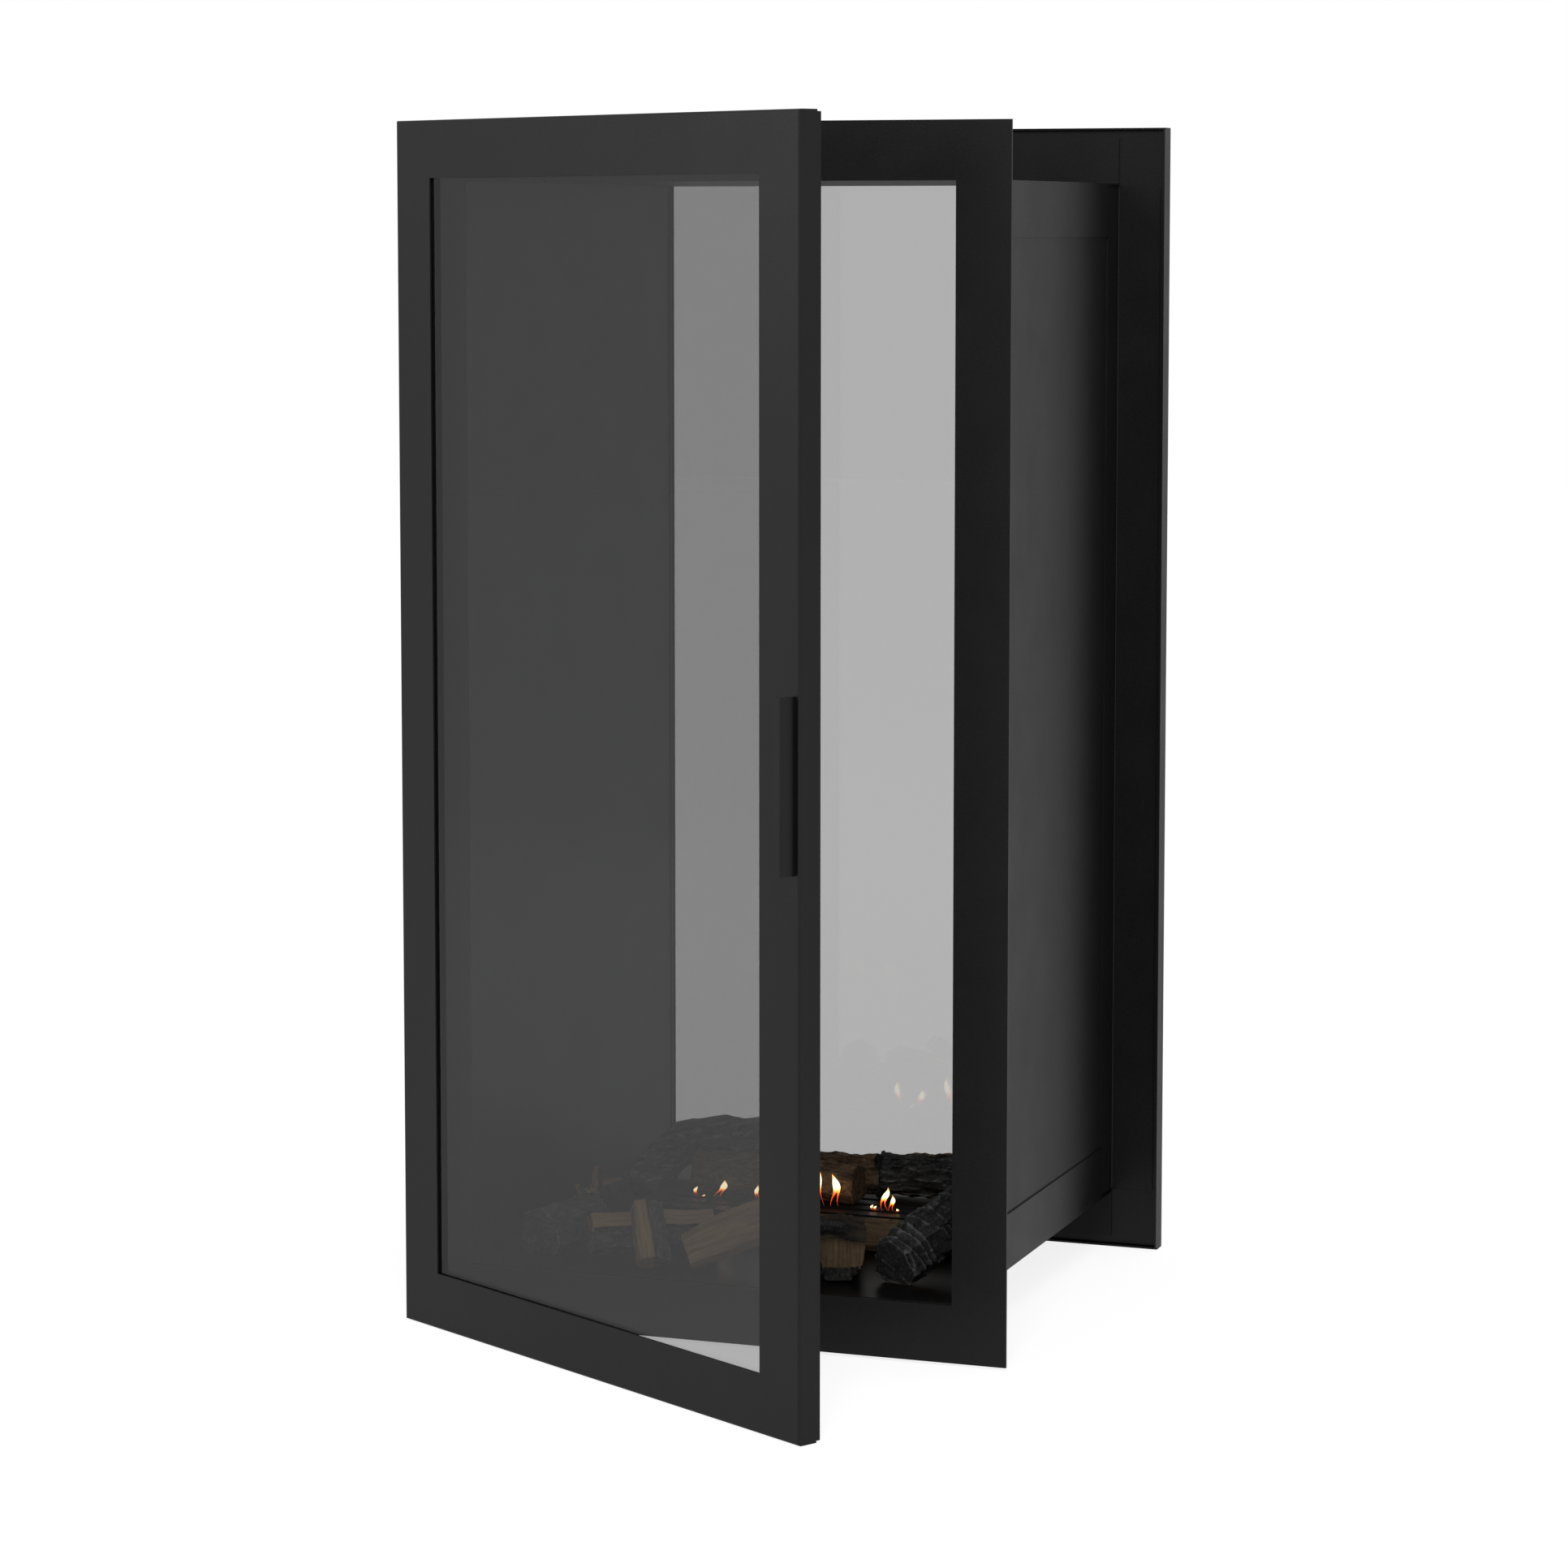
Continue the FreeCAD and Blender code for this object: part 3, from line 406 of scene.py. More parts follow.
@dataclass(frozen=True)
class PlatedSteel:
    """Zinc-plated steel with fine scratches."""

    name: str
    colour: Colour = (0.46, 0.47, 0.48)
    roughness: float = 0.34
    scratches: Cloud = Cloud((900, 900, 60), 3)
    scratch_band: Pair = (0.3, 0.7)
    scratch_depth: float = 0.00006
    duller: float = 0.12
    brighter: float = 0.08
    patches_per_metre: float = 160
    patch_band: Pair = (0.35, 0.7)
    patch_share: float = 1.2

    def make(self) -> bpy.types.Material:
        """Build the material.

        Returns:
            The material.
        """
        graph = Graph(self.name)
        drawn = graph.cloud(self.scratches)
        patchy = graph.noise(graph.place(), self.patches_per_metre)
        tones = (self.colour, scaled(self.colour, self.patch_share))
        tone = graph.ramp(patchy, list(zip(self.patch_band, tones)))
        sheen = graph.fit(drawn, *self.scratch_band, self.roughness - self.brighter,
                          self.roughness + self.duller)
        return graph.surface(Base_Color=tone, Metallic=1.0, Roughness=sheen,
                             Normal=graph.bump(drawn, self.scratch_depth))


@dataclass(frozen=True)
class FibreFelt:
    """White ceramic felt, scorched on top."""

    name: str
    colour: Colour = (0.62, 0.6, 0.55)
    scorched: Colour = (0.05, 0.04, 0.032)
    scorches_per_metre: float = 26
    scorch_band: Pair = (0.32, 0.62)
    hairs: Cloud = Cloud((300, 900, 900), 5, 0.7, 1.5)
    hair_depth: float = 0.0008
    roughness: float = 0.95

    def make(self) -> bpy.types.Material:
        """Build the material.

        Returns:
            The material.
        """
        graph = Graph(self.name)
        hairs = graph.cloud(self.hairs)
        scorch = graph.noise(graph.place(), self.scorches_per_metre)
        tone = graph.ramp(scorch, list(zip(self.scorch_band, (self.scorched, self.colour))))
        return graph.surface(Base_Color=tone, Roughness=self.roughness,
                             Normal=graph.bump(hairs, self.hair_depth))


@dataclass(frozen=True)
class LogCeramic:
    """Cast ceramic painted as firewood: split faces, bark and burnt edges.

    The mesh carries the grain's direction, how far each spot is split wood or burnt, and its rims and
    furrows, which get a painted highlight and painted shade.
    """

    name: str
    wood_dark: Colour = (0.105, 0.067, 0.037)
    wood_light: Colour = (0.25, 0.172, 0.095)
    bark_dark: Colour = (0.008, 0.0075, 0.007)
    bark_light: Colour = (0.075, 0.07, 0.064)
    # Painted highlight on the bark's rims and crests.
    rim_light: Colour = (0.2, 0.205, 0.2)
    burnt: Colour = (0.008, 0.007, 0.0065)
    fibres: Cloud = Cloud((420, 420, 17), 5, 0.6, 0.6)
    veins: Cloud = Cloud((150, 150, 7), 3, 0.5, 1.2)
    fibre_shares: Pair = (0.6, 0.4)
    wood_band: Pair = (0.33, 0.55)
    blotches: Cloud = Cloud((40, 40, 14), 3)
    blotch_band: Pair = (0.45, 0.75)
    blotch_cover: float = 0.4
    rifts: Cloud = Cloud((70, 70, 5), 4, 0.6, 0.8)
    rift_level: float = 0.47
    rift_width: float = 0.012
    rift_cover: float = 0.6
    flakes: Cloud = Cloud((130, 130, 55), 6, 0.62, 1.0)
    bark_band: Pair = (0.36, 0.72)
    # The wrinkles place a painted highlight along thin bark crests.
    wrinkles: Cloud = Cloud((90, 90, 120), 4, 0.55, 2.5)
    wrinkle_rise: Pair = (0.47, 0.5)
    wrinkle_fall: Pair = (0.53, 0.5)
    wrinkle_cover: float = 0.3
    plates: Point = (75, 75, 38)
    crack_width: float = 0.05
    crack_cover: float = 0.5
    # Bands and shares of the painted rim highlight and the painted furrow shade.
    rim_band: Pair = (0.25, 1.0)
    rim_flakes: Pair = (0.38, 0.6)
    rim_cover: float = 0.75
    furrow_band: Pair = (-0.15, -0.9)
    furrow_cover: float = 0.85
    edge_swing: float = 0.9
    edge_band: Pair = (0.42, 0.58)
    soot_swing: float = 0.8
    soot_band: Pair = (0.35, 0.8)
    soot_cover: float = 0.93
    relief_shares: Pair = (0.7, 0.3)
    relief_depth: float = 0.0022
    relief_strength: float = 0.8
    roughness: float = 0.88
    specular: float = 0.32

    def wood(self, graph: Graph, fibres: Socket, blotches: Socket) -> Socket:
        """Colour of the split faces, streaked along the grain.

        Args:
            graph: The material's tree.
            fibres: The pattern of fine fibres.
            blotches: The pattern of dark patches.

        Returns:
            The colour socket.
        """
        streaks = graph.weigh(fibres, graph.cloud(self.veins, "grain"), self.fibre_shares)
        tone = graph.ramp(streaks, list(zip(self.wood_band, (self.wood_dark, self.wood_light))))
        patches = graph.fit(blotches, *self.blotch_band, 0, self.blotch_cover)
        tone = graph.mix(patches, tone, self.wood_dark)
        rifts = graph.math("SUBTRACT", graph.cloud(self.rifts, "grain"), self.rift_level)
        beside = graph.math("ABSOLUTE", rifts)
        return graph.mix(graph.fit(beside, 0, self.rift_width, self.rift_cover, 0), tone, self.burnt)

    def bark(self, graph: Graph, flakes: Socket) -> Socket:
        """Colour of the bark, with a painted highlight on its rims and painted shade in its furrows.

        Args:
            graph: The material's tree.
            flakes: The pattern of bark flakes.

        Returns:
            The colour socket.
        """
        tone = graph.ramp(flakes, list(zip(self.bark_band, (self.bark_dark, self.bark_light))))
        # Painted highlight along thin crest lines across the bark.
        wrinkles = graph.cloud(self.wrinkles, "grain")
        crest_highlights = graph.math("MULTIPLY", graph.fit(wrinkles, *self.wrinkle_rise),
                            graph.fit(wrinkles, *self.wrinkle_fall))
        tone = graph.mix(graph.math("MULTIPLY", crest_highlights, self.wrinkle_cover), tone, self.rim_light)
        cracks = graph.cracks(graph.place(self.plates, "grain"))
        tone = graph.mix(graph.fit(cracks, 0, self.crack_width, self.crack_cover, 0), tone, self.bark_dark)
        # Painted highlight on proud rims and painted shade in sunken furrows, read from the mesh's relief.
        relief_shading = graph.attribute("relief_shading")
        rim_highlight = graph.math("MULTIPLY", graph.fit(relief_shading, *self.rim_band), graph.fit(flakes, *self.rim_flakes))
        tone = graph.mix(graph.math("MULTIPLY", rim_highlight, self.rim_cover), tone, self.rim_light)
        # Painted shade in the furrows, in the bark's dark colour.
        return graph.mix(graph.fit(relief_shading, *self.furrow_band, 0, self.furrow_cover), tone, self.bark_dark)

    def make(self) -> bpy.types.Material:
        """Build the material.

        Returns:
            The material.
        """
        graph = Graph(self.name)
        fibres = graph.cloud(self.fibres, "grain")
        blotches = graph.cloud(self.blotches, "grain")
        flakes = graph.cloud(self.flakes, "grain")
        ragged = graph.math("ADD", graph.attribute("split"), graph.swing(flakes, self.edge_swing))
        tone = graph.mix(graph.fit(ragged, *self.edge_band), self.bark(graph, flakes),
                         self.wood(graph, fibres, blotches))
        soot = graph.math("ADD", graph.attribute("burn"), graph.swing(blotches, self.soot_swing))
        tone = graph.mix(graph.fit(soot, *self.soot_band, 0, self.soot_cover), tone, self.burnt)
        # Painted light: each log's tone scales its colours for the light it gets.
        tone = graph.mix(1.0, tone, graph.attribute("tone"), "MULTIPLY")
        relief = graph.weigh(flakes, fibres, self.relief_shares)
        return graph.surface(Base_Color=tone, Roughness=self.roughness, Specular_IOR_Level=self.specular,
                             Normal=graph.bump(relief, self.relief_depth, self.relief_strength))


@dataclass(frozen=True)
class FlameGlow:
    """Light of a flame, red at its foot and pale at its head."""

    name: str
    strength: float = 1.9
    flickers_per_metre: float = 180
    flicker_swing: float = 0.25
    tones: tuple[tuple[float, Colour], ...] = (
        (0.05, (0.5, 0.03, 0.004)),
        (0.3, (1.0, 0.16, 0.02)),
        (0.55, (1.0, 0.5, 0.13)),
        (0.8, (1.0, 0.83, 0.5)),
    )
    glow_band: Pair = (0.0, 0.5)
    cover_band: Pair = (0.25, 0.95)

    def make(self) -> bpy.types.Material:
        """Build the material.

        Returns:
            The material.
        """
        graph = Graph(self.name)
        glow = graph.attribute("glow")
        flicker = graph.noise(graph.place(), self.flickers_per_metre, detail=2)
        warmth = graph.math("ADD", glow, graph.swing(flicker, self.flicker_swing))
        return graph.surface(Base_Color=(0, 0, 0, 1), Emission_Color=graph.ramp(warmth, list(self.tones)),
                             Emission_Strength=self.strength, Roughness=1.0,
                             Alpha=graph.fit(glow, *self.glow_band, *self.cover_band))


class Finish(Enum):
    """The finishes: one for each of the record's slots, and three of the visual model's own."""

    BLACK_COAT = PowderCoat("black_coat")
    TINTED_GLASS = TintedGlass("tinted_glass")
    GASKET_TAPE = WovenTape("gasket_tape")
    PLAIN_STEEL = PlatedSteel("plain_steel")
    BURNER_STEEL = PowderCoat("burner_steel", colour=(0.008, 0.008, 0.008), roughness=0.42,
                              peel_per_metre=1500, peel_depth=0.0002)
    FIBRE = FibreFelt("fibre")
    BARK = LogCeramic("bark")
    WOOD = LogCeramic("wood")
    CHAR = LogCeramic("char", bark_light=(0.055, 0.057, 0.057))
    # Scaly logs get a brown painted rim highlight.
    SCALY = LogCeramic("scaly_wood", bark_dark=(0.025, 0.015, 0.008), bark_light=(0.15, 0.098, 0.058),
                       rim_light=(0.19, 0.13, 0.085))
    FLOOR_ENAMEL = PowderCoat("floor_enamel", colour=(0.004, 0.004, 0.0042), roughness=0.3,
                              peel_per_metre=700, peel_depth=0.00006, specular=0.4)
    FLAME = FlameGlow("flame")


@dataclass(frozen=True)
class Stub:
    """Stump of a twig on a log, from its foot to its tip."""

    foot: Point
    tip: Point
    foot_radius: float
    tip_radius: float


class Bench:
    """Hand tools: selection, finishes, copies of solids and modifiers."""

    made: dict[Finish, bpy.types.Material] = {}
    weld_distance: float = 1e-5

    @staticmethod
    def pick(piece: bpy.types.Object) -> None:
        """Select one object alone and make it active.

        Args:
            piece: The object.
        """
        bpy.ops.object.select_all(action="DESELECT")
        piece.select_set(True)
        bpy.context.view_layer.objects.active = piece

    @classmethod
    def dress(cls, piece: bpy.types.Object, finish: Finish) -> None:
        """Give a piece its finish.

        Args:
            piece: The piece.
            finish: The finish, whose material is built once.
        """
        if finish not in cls.made:
            cls.made[finish] = finish.value.make()
        piece.data.materials.clear()
        piece.data.materials.append(cls.made[finish])

    @classmethod
    def copy_node(cls, node: str, name: str) -> bpy.types.Object:
        """Copy a solid as a closed mesh of its own.

        Args:
            node: The solid.
            name: The copy's name.

        Returns:
            The copy, at the origin.
        """
        source = frame["nodes"][node]
        piece = bpy.data.objects.new(name, source.data.copy())
        bpy.context.scene.collection.objects.link(piece)
        cls.pick(piece)
        bpy.ops.object.mode_set(mode="EDIT")
        bpy.ops.mesh.select_all(action="SELECT")
        bpy.ops.mesh.remove_doubles(threshold=cls.weld_distance)
        bpy.ops.mesh.customdata_custom_splitnormals_clear()
        bpy.ops.object.mode_set(mode="OBJECT")
        return piece

    @classmethod
    def modify(cls, piece: bpy.types.Object, kind: str, **settings: object) -> None:
        """Add a modifier and apply it.

        Args:
            piece: The object.
            kind: The modifier's type.
            **settings: Its settings.
        """
        cls.pick(piece)
        step = piece.modifiers.new(kind.lower(), kind)
        for key, value in settings.items():
            setattr(step, key, value)
        bpy.ops.object.modifier_apply(modifier=step.name)


class Area(Enum):
    """Area of a log that a relief is pressed into."""

    ALL = "all"
    WOOD = "wood"
    BARK = "bark"


class Relief(Enum):
    """Kind of relief on a log, by Blender's name for its noise."""

    SOFT = "ORIGINAL_PERLIN"
    PLATES = "VORONOI_F2_F1"


@dataclass
class LogPiece:
    """One ceramic log, cast as a split or round piece of firewood.

    The split faces lie between two angles round the log, in degrees. Sizes are in metres across, up and
    along the log. The proud share of a relief stands out of the solid. The tone scales the colours as
    painted light, making each log brighter or darker for the light it gets.
    """

    node: str
    finish: Finish
    split_from: float = 0
    split_to: float = 0
    burn: float = 0.2
    burnt_ends: float = 0.3
    burnt_top: float = 0.0
    top_fade: float = 3
    bark_foot: float = 0.0
    bark_edge: Optional[float] = None
    upright: bool = False
    bark_size: Point = (0.011, 0.011, 0.03)
    bark_depth: float = 0.0045
    fine_size: float = 0.5
    fine_depth: float = 0.35
    swell_size: Point = (0.034, 0.034, 0.06)
    swell_depth: float = 0.006
    grain_size: Point = (0.006, 0.006, 0.09)
    grain_depth: float = 0.0022
    ridge_size: Point = (0.09, 0.09, 0.026)
    ridge_depth: float = 0.0
    ridge_noise: float = 0.55
    ridge_waves: float = 8
    # Painted light: scales this log's colours for the light it gets.
    proud: float = 0.25
    tone: float = 1.0
    stubs: tuple[Stub, ...] = ()
    stub_sides: int = 9
    voxel: float = 0.0016
    rounding: int = 5
    smoothing: float = 0.5
    seed: float = 0
    split_blend: float = 0.28
    edge_blend: float = 0.2
    foot_blend: float = 0.12
    end_facing: float = 0.6
    end_blend: float = 0.25
    end_wood: float = 0.8
    end_reach: float = 0.38
    flat_ends: float = 0.75
    rim_rings: int = 8
    rim_height: float = 0.0006

    def axes(self, piece: bpy.types.Object) -> Matrix:
        """Frame of the log: across, up and along its length, from its middle.

        Args:
            piece: The log.

        Returns:
            The matrix from the log's frame to the part's frame.
        """
        places = np.array([vertex.co for vertex in piece.data.vertices])
        centre = places.mean(axis=0)
        along = Vector(np.linalg.svd(places - centre)[2][0])
        if along.x + along.y < 0:
            along.negate()
        across = along.cross(Vector((0, 0, 1))).normalized()
        up = across.cross(along)
        turn = Matrix((across, up, along)).transposed().to_4x4()
        return Matrix.Translation(Vector(centre)) @ turn

    def press(self, piece: bpy.types.Object, pattern: bpy.types.Texture, axes: Matrix, size: Point,
              depth: float, area: Area) -> None:
        """Press a pattern into the log.

        Args:
            piece: The log.
            pattern: The pattern, which is used up.
            axes: The log's frame.
            size: Size of the pattern across, up and along the log.
            depth: How deep it goes.
            area: The area that it is limited to.
        """
        bpy.ops.object.empty_add()
        guide = bpy.context.active_object
        shift = Matrix.Translation((self.seed, 2 * self.seed, -self.seed))
        guide.matrix_world = axes @ shift @ Matrix.Diagonal((*size, 1))
        bpy.context.view_layer.update()
        Bench.modify(piece, "DISPLACE", texture=pattern, texture_coords="OBJECT",
                     texture_coords_object=guide, strength=depth, mid_level=1 - self.proud,
                     vertex_group=area.value)
        bpy.data.objects.remove(guide)
        bpy.data.textures.remove(pattern)

    def emboss(self, piece: bpy.types.Object, axes: Matrix, size: Point, depth: float, area: Area,
               relief: Relief = Relief.SOFT, detail: int = 3) -> None:
        """Press a cloudy relief into the log.

        Args:
            piece: The log.
            axes: The log's frame.
            size: Size of the relief across, up and along the log.
            depth: How deep it goes.
            area: The area that it is limited to.
            relief: Its kind.
            detail: Octaves.
        """
        pattern = bpy.data.textures.new("relief", "CLOUDS")
        pattern.noise_basis = relief.value
        pattern.noise_scale = 1.0
        pattern.noise_depth = detail
        self.press(piece, pattern, axes, size, depth, area)

    def ridge(self, piece: bpy.types.Object, axes: Matrix) -> None:
        """Press wavy folds across the log.

        Args:
            piece: The log.
            axes: The log's frame.
        """
        pattern = bpy.data.textures.new("ridges", "WOOD")
        pattern.wood_type = "BANDNOISE"
        pattern.noise_basis_2 = "SAW"
        pattern.noise_scale = self.ridge_noise
        pattern.turbulence = self.ridge_waves
        self.press(piece, pattern, axes, self.ridge_size, self.ridge_depth, Area.BARK)

    def grow(self, piece: bpy.types.Object) -> None:
        """Join the twig stumps to the log.

        Args:
            piece: The log.
        """
        for stub in self.stubs:
            reach = Vector(stub.tip) - Vector(stub.foot)
            turn = reach.to_track_quat("Z", "Y").to_euler()
            middle = Vector(stub.foot) + reach / 2
            bpy.ops.object.select_all(action="DESELECT")
            bpy.ops.mesh.primitive_cone_add(
                vertices=self.stub_sides, radius1=stub.foot_radius, radius2=stub.tip_radius,
                depth=reach.length, location=middle, rotation=turn)
            bpy.ops.object.transform_apply(location=True, rotation=True, scale=True)
            piece.select_set(True)
            bpy.context.view_layer.objects.active = piece
            bpy.ops.object.join()

    def wood_share(self, facing: Vector, end: float, side: float, level: float) -> float:
        """How far a spot is split wood.

        Args:
            facing: Its normal in the log's frame.
            end: How far it lies on a cut end.
            side: Its place across the log, as a share of half the breadth.
            level: Its height, as a share of the log's.

        Returns:
            The share, 0 for bark.
        """
        middle = math.radians((self.split_from + self.split_to) / 2)
        reach = math.radians((self.split_to - self.split_from) / 2)
        if not reach:
            return 0
        turned = math.atan2(facing.y, facing.x) - middle
        away = abs(math.atan2(math.sin(turned), math.cos(turned)))
        share = max(soft_step(reach - away, self.split_blend), self.end_wood * end)
        if self.bark_edge is not None:
            share *= soft_step(self.bark_edge - side, self.edge_blend)
        if self.bark_foot:
            share *= soft_step(level - self.bark_foot, self.foot_blend)
        return share

    def mark(self, piece: bpy.types.Object, axes: Matrix) -> None:
        """Note the grain's direction and the split and burnt areas on the mesh.

        Args:
            piece: The log.
            axes: The log's frame.
        """
        mesh = piece.data
        inverse = axes.inverted()
        turn = inverse.to_3x3()
        shift = Vector((self.seed, self.seed, 0))
        places = [inverse @ vertex.co for vertex in mesh.vertices]
        half = max(abs(place.z) for place in places)
        breadth = max(abs(place.x) for place in places)
        lowest = min(vertex.co.z for vertex in mesh.vertices)
        height = max(vertex.co.z for vertex in mesh.vertices) - lowest
        grain, split, burn, rough = [], [], [], []
        for vertex, place in zip(mesh.vertices, places):
            facing = turn @ vertex.normal
            level = (vertex.co.z - lowest) / height
            end = clamp((abs(facing.z) - self.end_facing) / self.end_blend)
            share = self.wood_share(facing, end, place.x / breadth, level)
            near_end = max(abs(place.z) / half - 1 + self.end_reach, 0) / self.end_reach
            grain.extend((place.xzy if self.upright else place) + shift)
            split.append(share)
            rough.append((1 - share) * (1 - self.flat_ends * end))
            burn.append(self.burn + self.burnt_ends * near_end + self.burnt_top * level ** self.top_fade)
        self.store(mesh, "grain", "FLOAT_VECTOR", grain)
        self.store(mesh, "split", "FLOAT", split)
        self.store(mesh, "burn", "FLOAT", burn)
        # The tone, painted light, is kept on the mesh for the material.
        self.store(mesh, "tone", "FLOAT", [self.tone] * len(burn))
        for area, weights in ((Area.ALL, [1] * len(burn)), (Area.WOOD, split), (Area.BARK, rough)):
            group = piece.vertex_groups.new(name=area.value)
            for index, weight in enumerate(weights):
                group.add([index], weight, "REPLACE")

    def wear(self, mesh: bpy.types.Mesh) -> None:
        """Note how far each spot stands out as a rim or lies back as a furrow, for a painted highlight on
        rims and painted shade in furrows.

        Args:
            mesh: The finished log's mesh.
        """
        count = len(mesh.vertices)
        places, normals = np.empty(3 * count), np.empty(3 * count)
        mesh.vertices.foreach_get("co", places)
        mesh.vertices.foreach_get("normal", normals)
        places = places.reshape(-1, 3)
        ends = np.empty(2 * len(mesh.edges), dtype=np.int64)
        mesh.edges.foreach_get("vertices", ends)
        near, far = np.concatenate((ends.reshape(-1, 2), ends.reshape(-1, 2)[:, ::-1])).T
        neighbours = np.bincount(near, minlength=count)
        level = places
        for _ in range(self.rim_rings):
            sums = [np.bincount(near, level[far, axis], count) for axis in range(3)]
            level = (level + np.transpose(sums / neighbours)) / 2
        # Proud spots get a painted highlight and sunken ones painted shade.
        proud = ((places - level) * normals.reshape(-1, 3)).sum(axis=1)
        self.store(mesh, "relief_shading", "FLOAT", np.clip(proud / self.rim_height, -1, 1))

    def store(self, mesh: bpy.types.Mesh, name: str, kind: str, values: list[float]) -> None:
        """Write one attribute of the mesh.

        Args:
            mesh: The mesh.
            name: The attribute's name.
            kind: Its type.
            values: Its values in the order of the vertices.
        """
        mesh.attributes.new(name, kind, "POINT")
        mesh.attributes[name].data.foreach_set("vector" if kind == "FLOAT_VECTOR" else "value", values)

    def build(self) -> bpy.types.Object:
        """Model the log from its solid and dress it.

        Returns:
            The log.
        """
        piece = Bench.copy_node(self.node, f"{self.node}_cast")
        axes = self.axes(piece)
        self.grow(piece)
        Bench.modify(piece, "REMESH", mode="VOXEL", voxel_size=self.voxel, adaptivity=0)
        Bench.modify(piece, "SMOOTH", factor=self.smoothing, iterations=self.rounding)
        self.mark(piece, axes)
        self.emboss(piece, axes, self.swell_size, self.swell_depth, Area.ALL, detail=2)
        self.emboss(piece, axes, self.bark_size, self.bark_depth, Area.BARK, Relief.PLATES, detail=2)
        self.emboss(piece, axes, scaled(self.bark_size, self.fine_size), self.fine_depth * self.bark_depth,
                    Area.BARK)
        self.emboss(piece, axes, self.grain_size, self.grain_depth, Area.WOOD)
        if self.ridge_depth:
            self.ridge(piece, axes)
        # Rims and furrows for the painted highlight and the painted shade.
        self.wear(piece.data)
        piece.vertex_groups.clear()
        Bench.pick(piece)
        bpy.ops.object.shade_smooth()
        Bench.dress(piece, self.finish)
        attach(piece, "casing")
        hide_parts(self.node)
        return piece


@dataclass
class LogStack:
    """All logs round and on the burner."""

    pieces: list[LogPiece] = field(default_factory=lambda: [
        # The tones are painted light, setting how bright each log is drawn.
        LogPiece("left_log", Finish.BARK, burn=0.0, burnt_ends=0.0, bark_size=(0.03, 0.03, 0.04),
                 bark_depth=0.0015, swell_depth=0.003, rounding=1, tone=1.9, seed=0.1),
        LogPiece("cross_left_log", Finish.WOOD, split_from=22, split_to=135, burn=0.0, burnt_ends=0.0,
                 bark_depth=0.007, rounding=3, tone=1.9, seed=0.2),
        LogPiece("leaning_log", Finish.WOOD, split_from=40, split_to=230, burn=0.0, burnt_ends=0.0,
                 bark_edge=-0.05, bark_depth=0.006, swell_depth=0.005, voxel=0.0011, rounding=3, proud=0.6,
                 tone=1.9, seed=0.3),
        LogPiece("centre_left_log", Finish.WOOD, split_from=-62, split_to=135, burn=0.0, burnt_ends=0.0,
                 swell_depth=0.004, rounding=3, tone=1.75, seed=0.4),
        LogPiece("centre_log", Finish.WOOD, split_from=-60, split_to=170, burn=0.02, burnt_ends=0.0,
                 burnt_top=0.85, bark_foot=0.3, upright=True, bark_depth=0.008, rounding=3, tone=0.76,
                 seed=0.5),
        LogPiece("cross_right_log", Finish.WOOD, split_from=-60, split_to=130, burn=0.0, burnt_ends=0.1,
                 bark_depth=0.003, swell_depth=0.003, voxel=0.0013, rounding=3, tone=0.74, seed=0.6),
        LogPiece("right_log", Finish.CHAR, burn=0.0, burnt_ends=0.0, bark_size=(0.03, 0.03, 0.02),
                 bark_depth=0.001, swell_depth=0.004, ridge_depth=0.0045, rounding=2, proud=0.4, tone=0.9,
                 seed=0.7),
        LogPiece("burner_log", Finish.SCALY, burn=0.0, burnt_ends=0.1, bark_size=(0.026, 0.026, 0.05),
                 bark_depth=0.005, swell_depth=0.004, rounding=2, proud=0.4, tone=1.6, seed=0.8),
        LogPiece("charred_log", Finish.CHAR, burn=0.1, burnt_ends=0.1, bark_size=(0.022, 0.018, 0.05),
                 bark_depth=0.011, swell_depth=0.013, rounding=14, proud=0.35, tone=1.2, seed=0.9),
        LogPiece("back_log", Finish.SCALY, burn=0.05, burnt_ends=0.1, bark_size=(0.02, 0.02, 0.034),
                 bark_depth=0.008, swell_depth=0.016, proud=0.5, tone=1.4, seed=1.0),
        LogPiece("side_log", Finish.BARK, split_from=50, split_to=120, burn=0.0, burnt_ends=0.1,
                 bark_depth=0.003, swell_depth=0.003, voxel=0.0012, rounding=4, tone=1.6, seed=1.1, stubs=(
                     Stub((-0.24, -0.02, 0.02), (-0.236, -0.026, 0.058), 0.012, 0.006),
                     Stub((-0.246, -0.034, 0.018), (-0.25, -0.05, 0.04), 0.01, 0.005))),
        LogPiece("charred_chip", Finish.CHAR, burn=0.0, bark_size=(0.008, 0.008, 0.014), bark_depth=0.003,
                 swell_depth=0.003, voxel=0.0007, rounding=3, proud=0.5, seed=1.2),
        LogPiece("bent_log", Finish.BARK, burn=0.0, burnt_ends=0.1, bark_size=(0.019, 0.019, 0.075),
                 bark_depth=0.006, swell_depth=0.016, rounding=3, proud=0.7, tone=1.2, seed=1.3),
    ])

    def build(self) -> None:
        """Model every log."""
        for log in self.pieces:
            made = log.build()
            REPORT.info("%s: %d faces", made.name, len(made.data.polygons))


@dataclass
class Flame:
    """One flame on a burner slot: its place, its size and how far its tip leans to the side."""

    x: float
    height: float
    width: float
    lean: float = 0.0
    foot: float = 0.028
    y: float = -0.0135


@dataclass(frozen=True)
class Tongue:
    """Tongue of a flame: how far its foot stands aside, in flame widths, and the share of its head."""

    side: float
    head: float


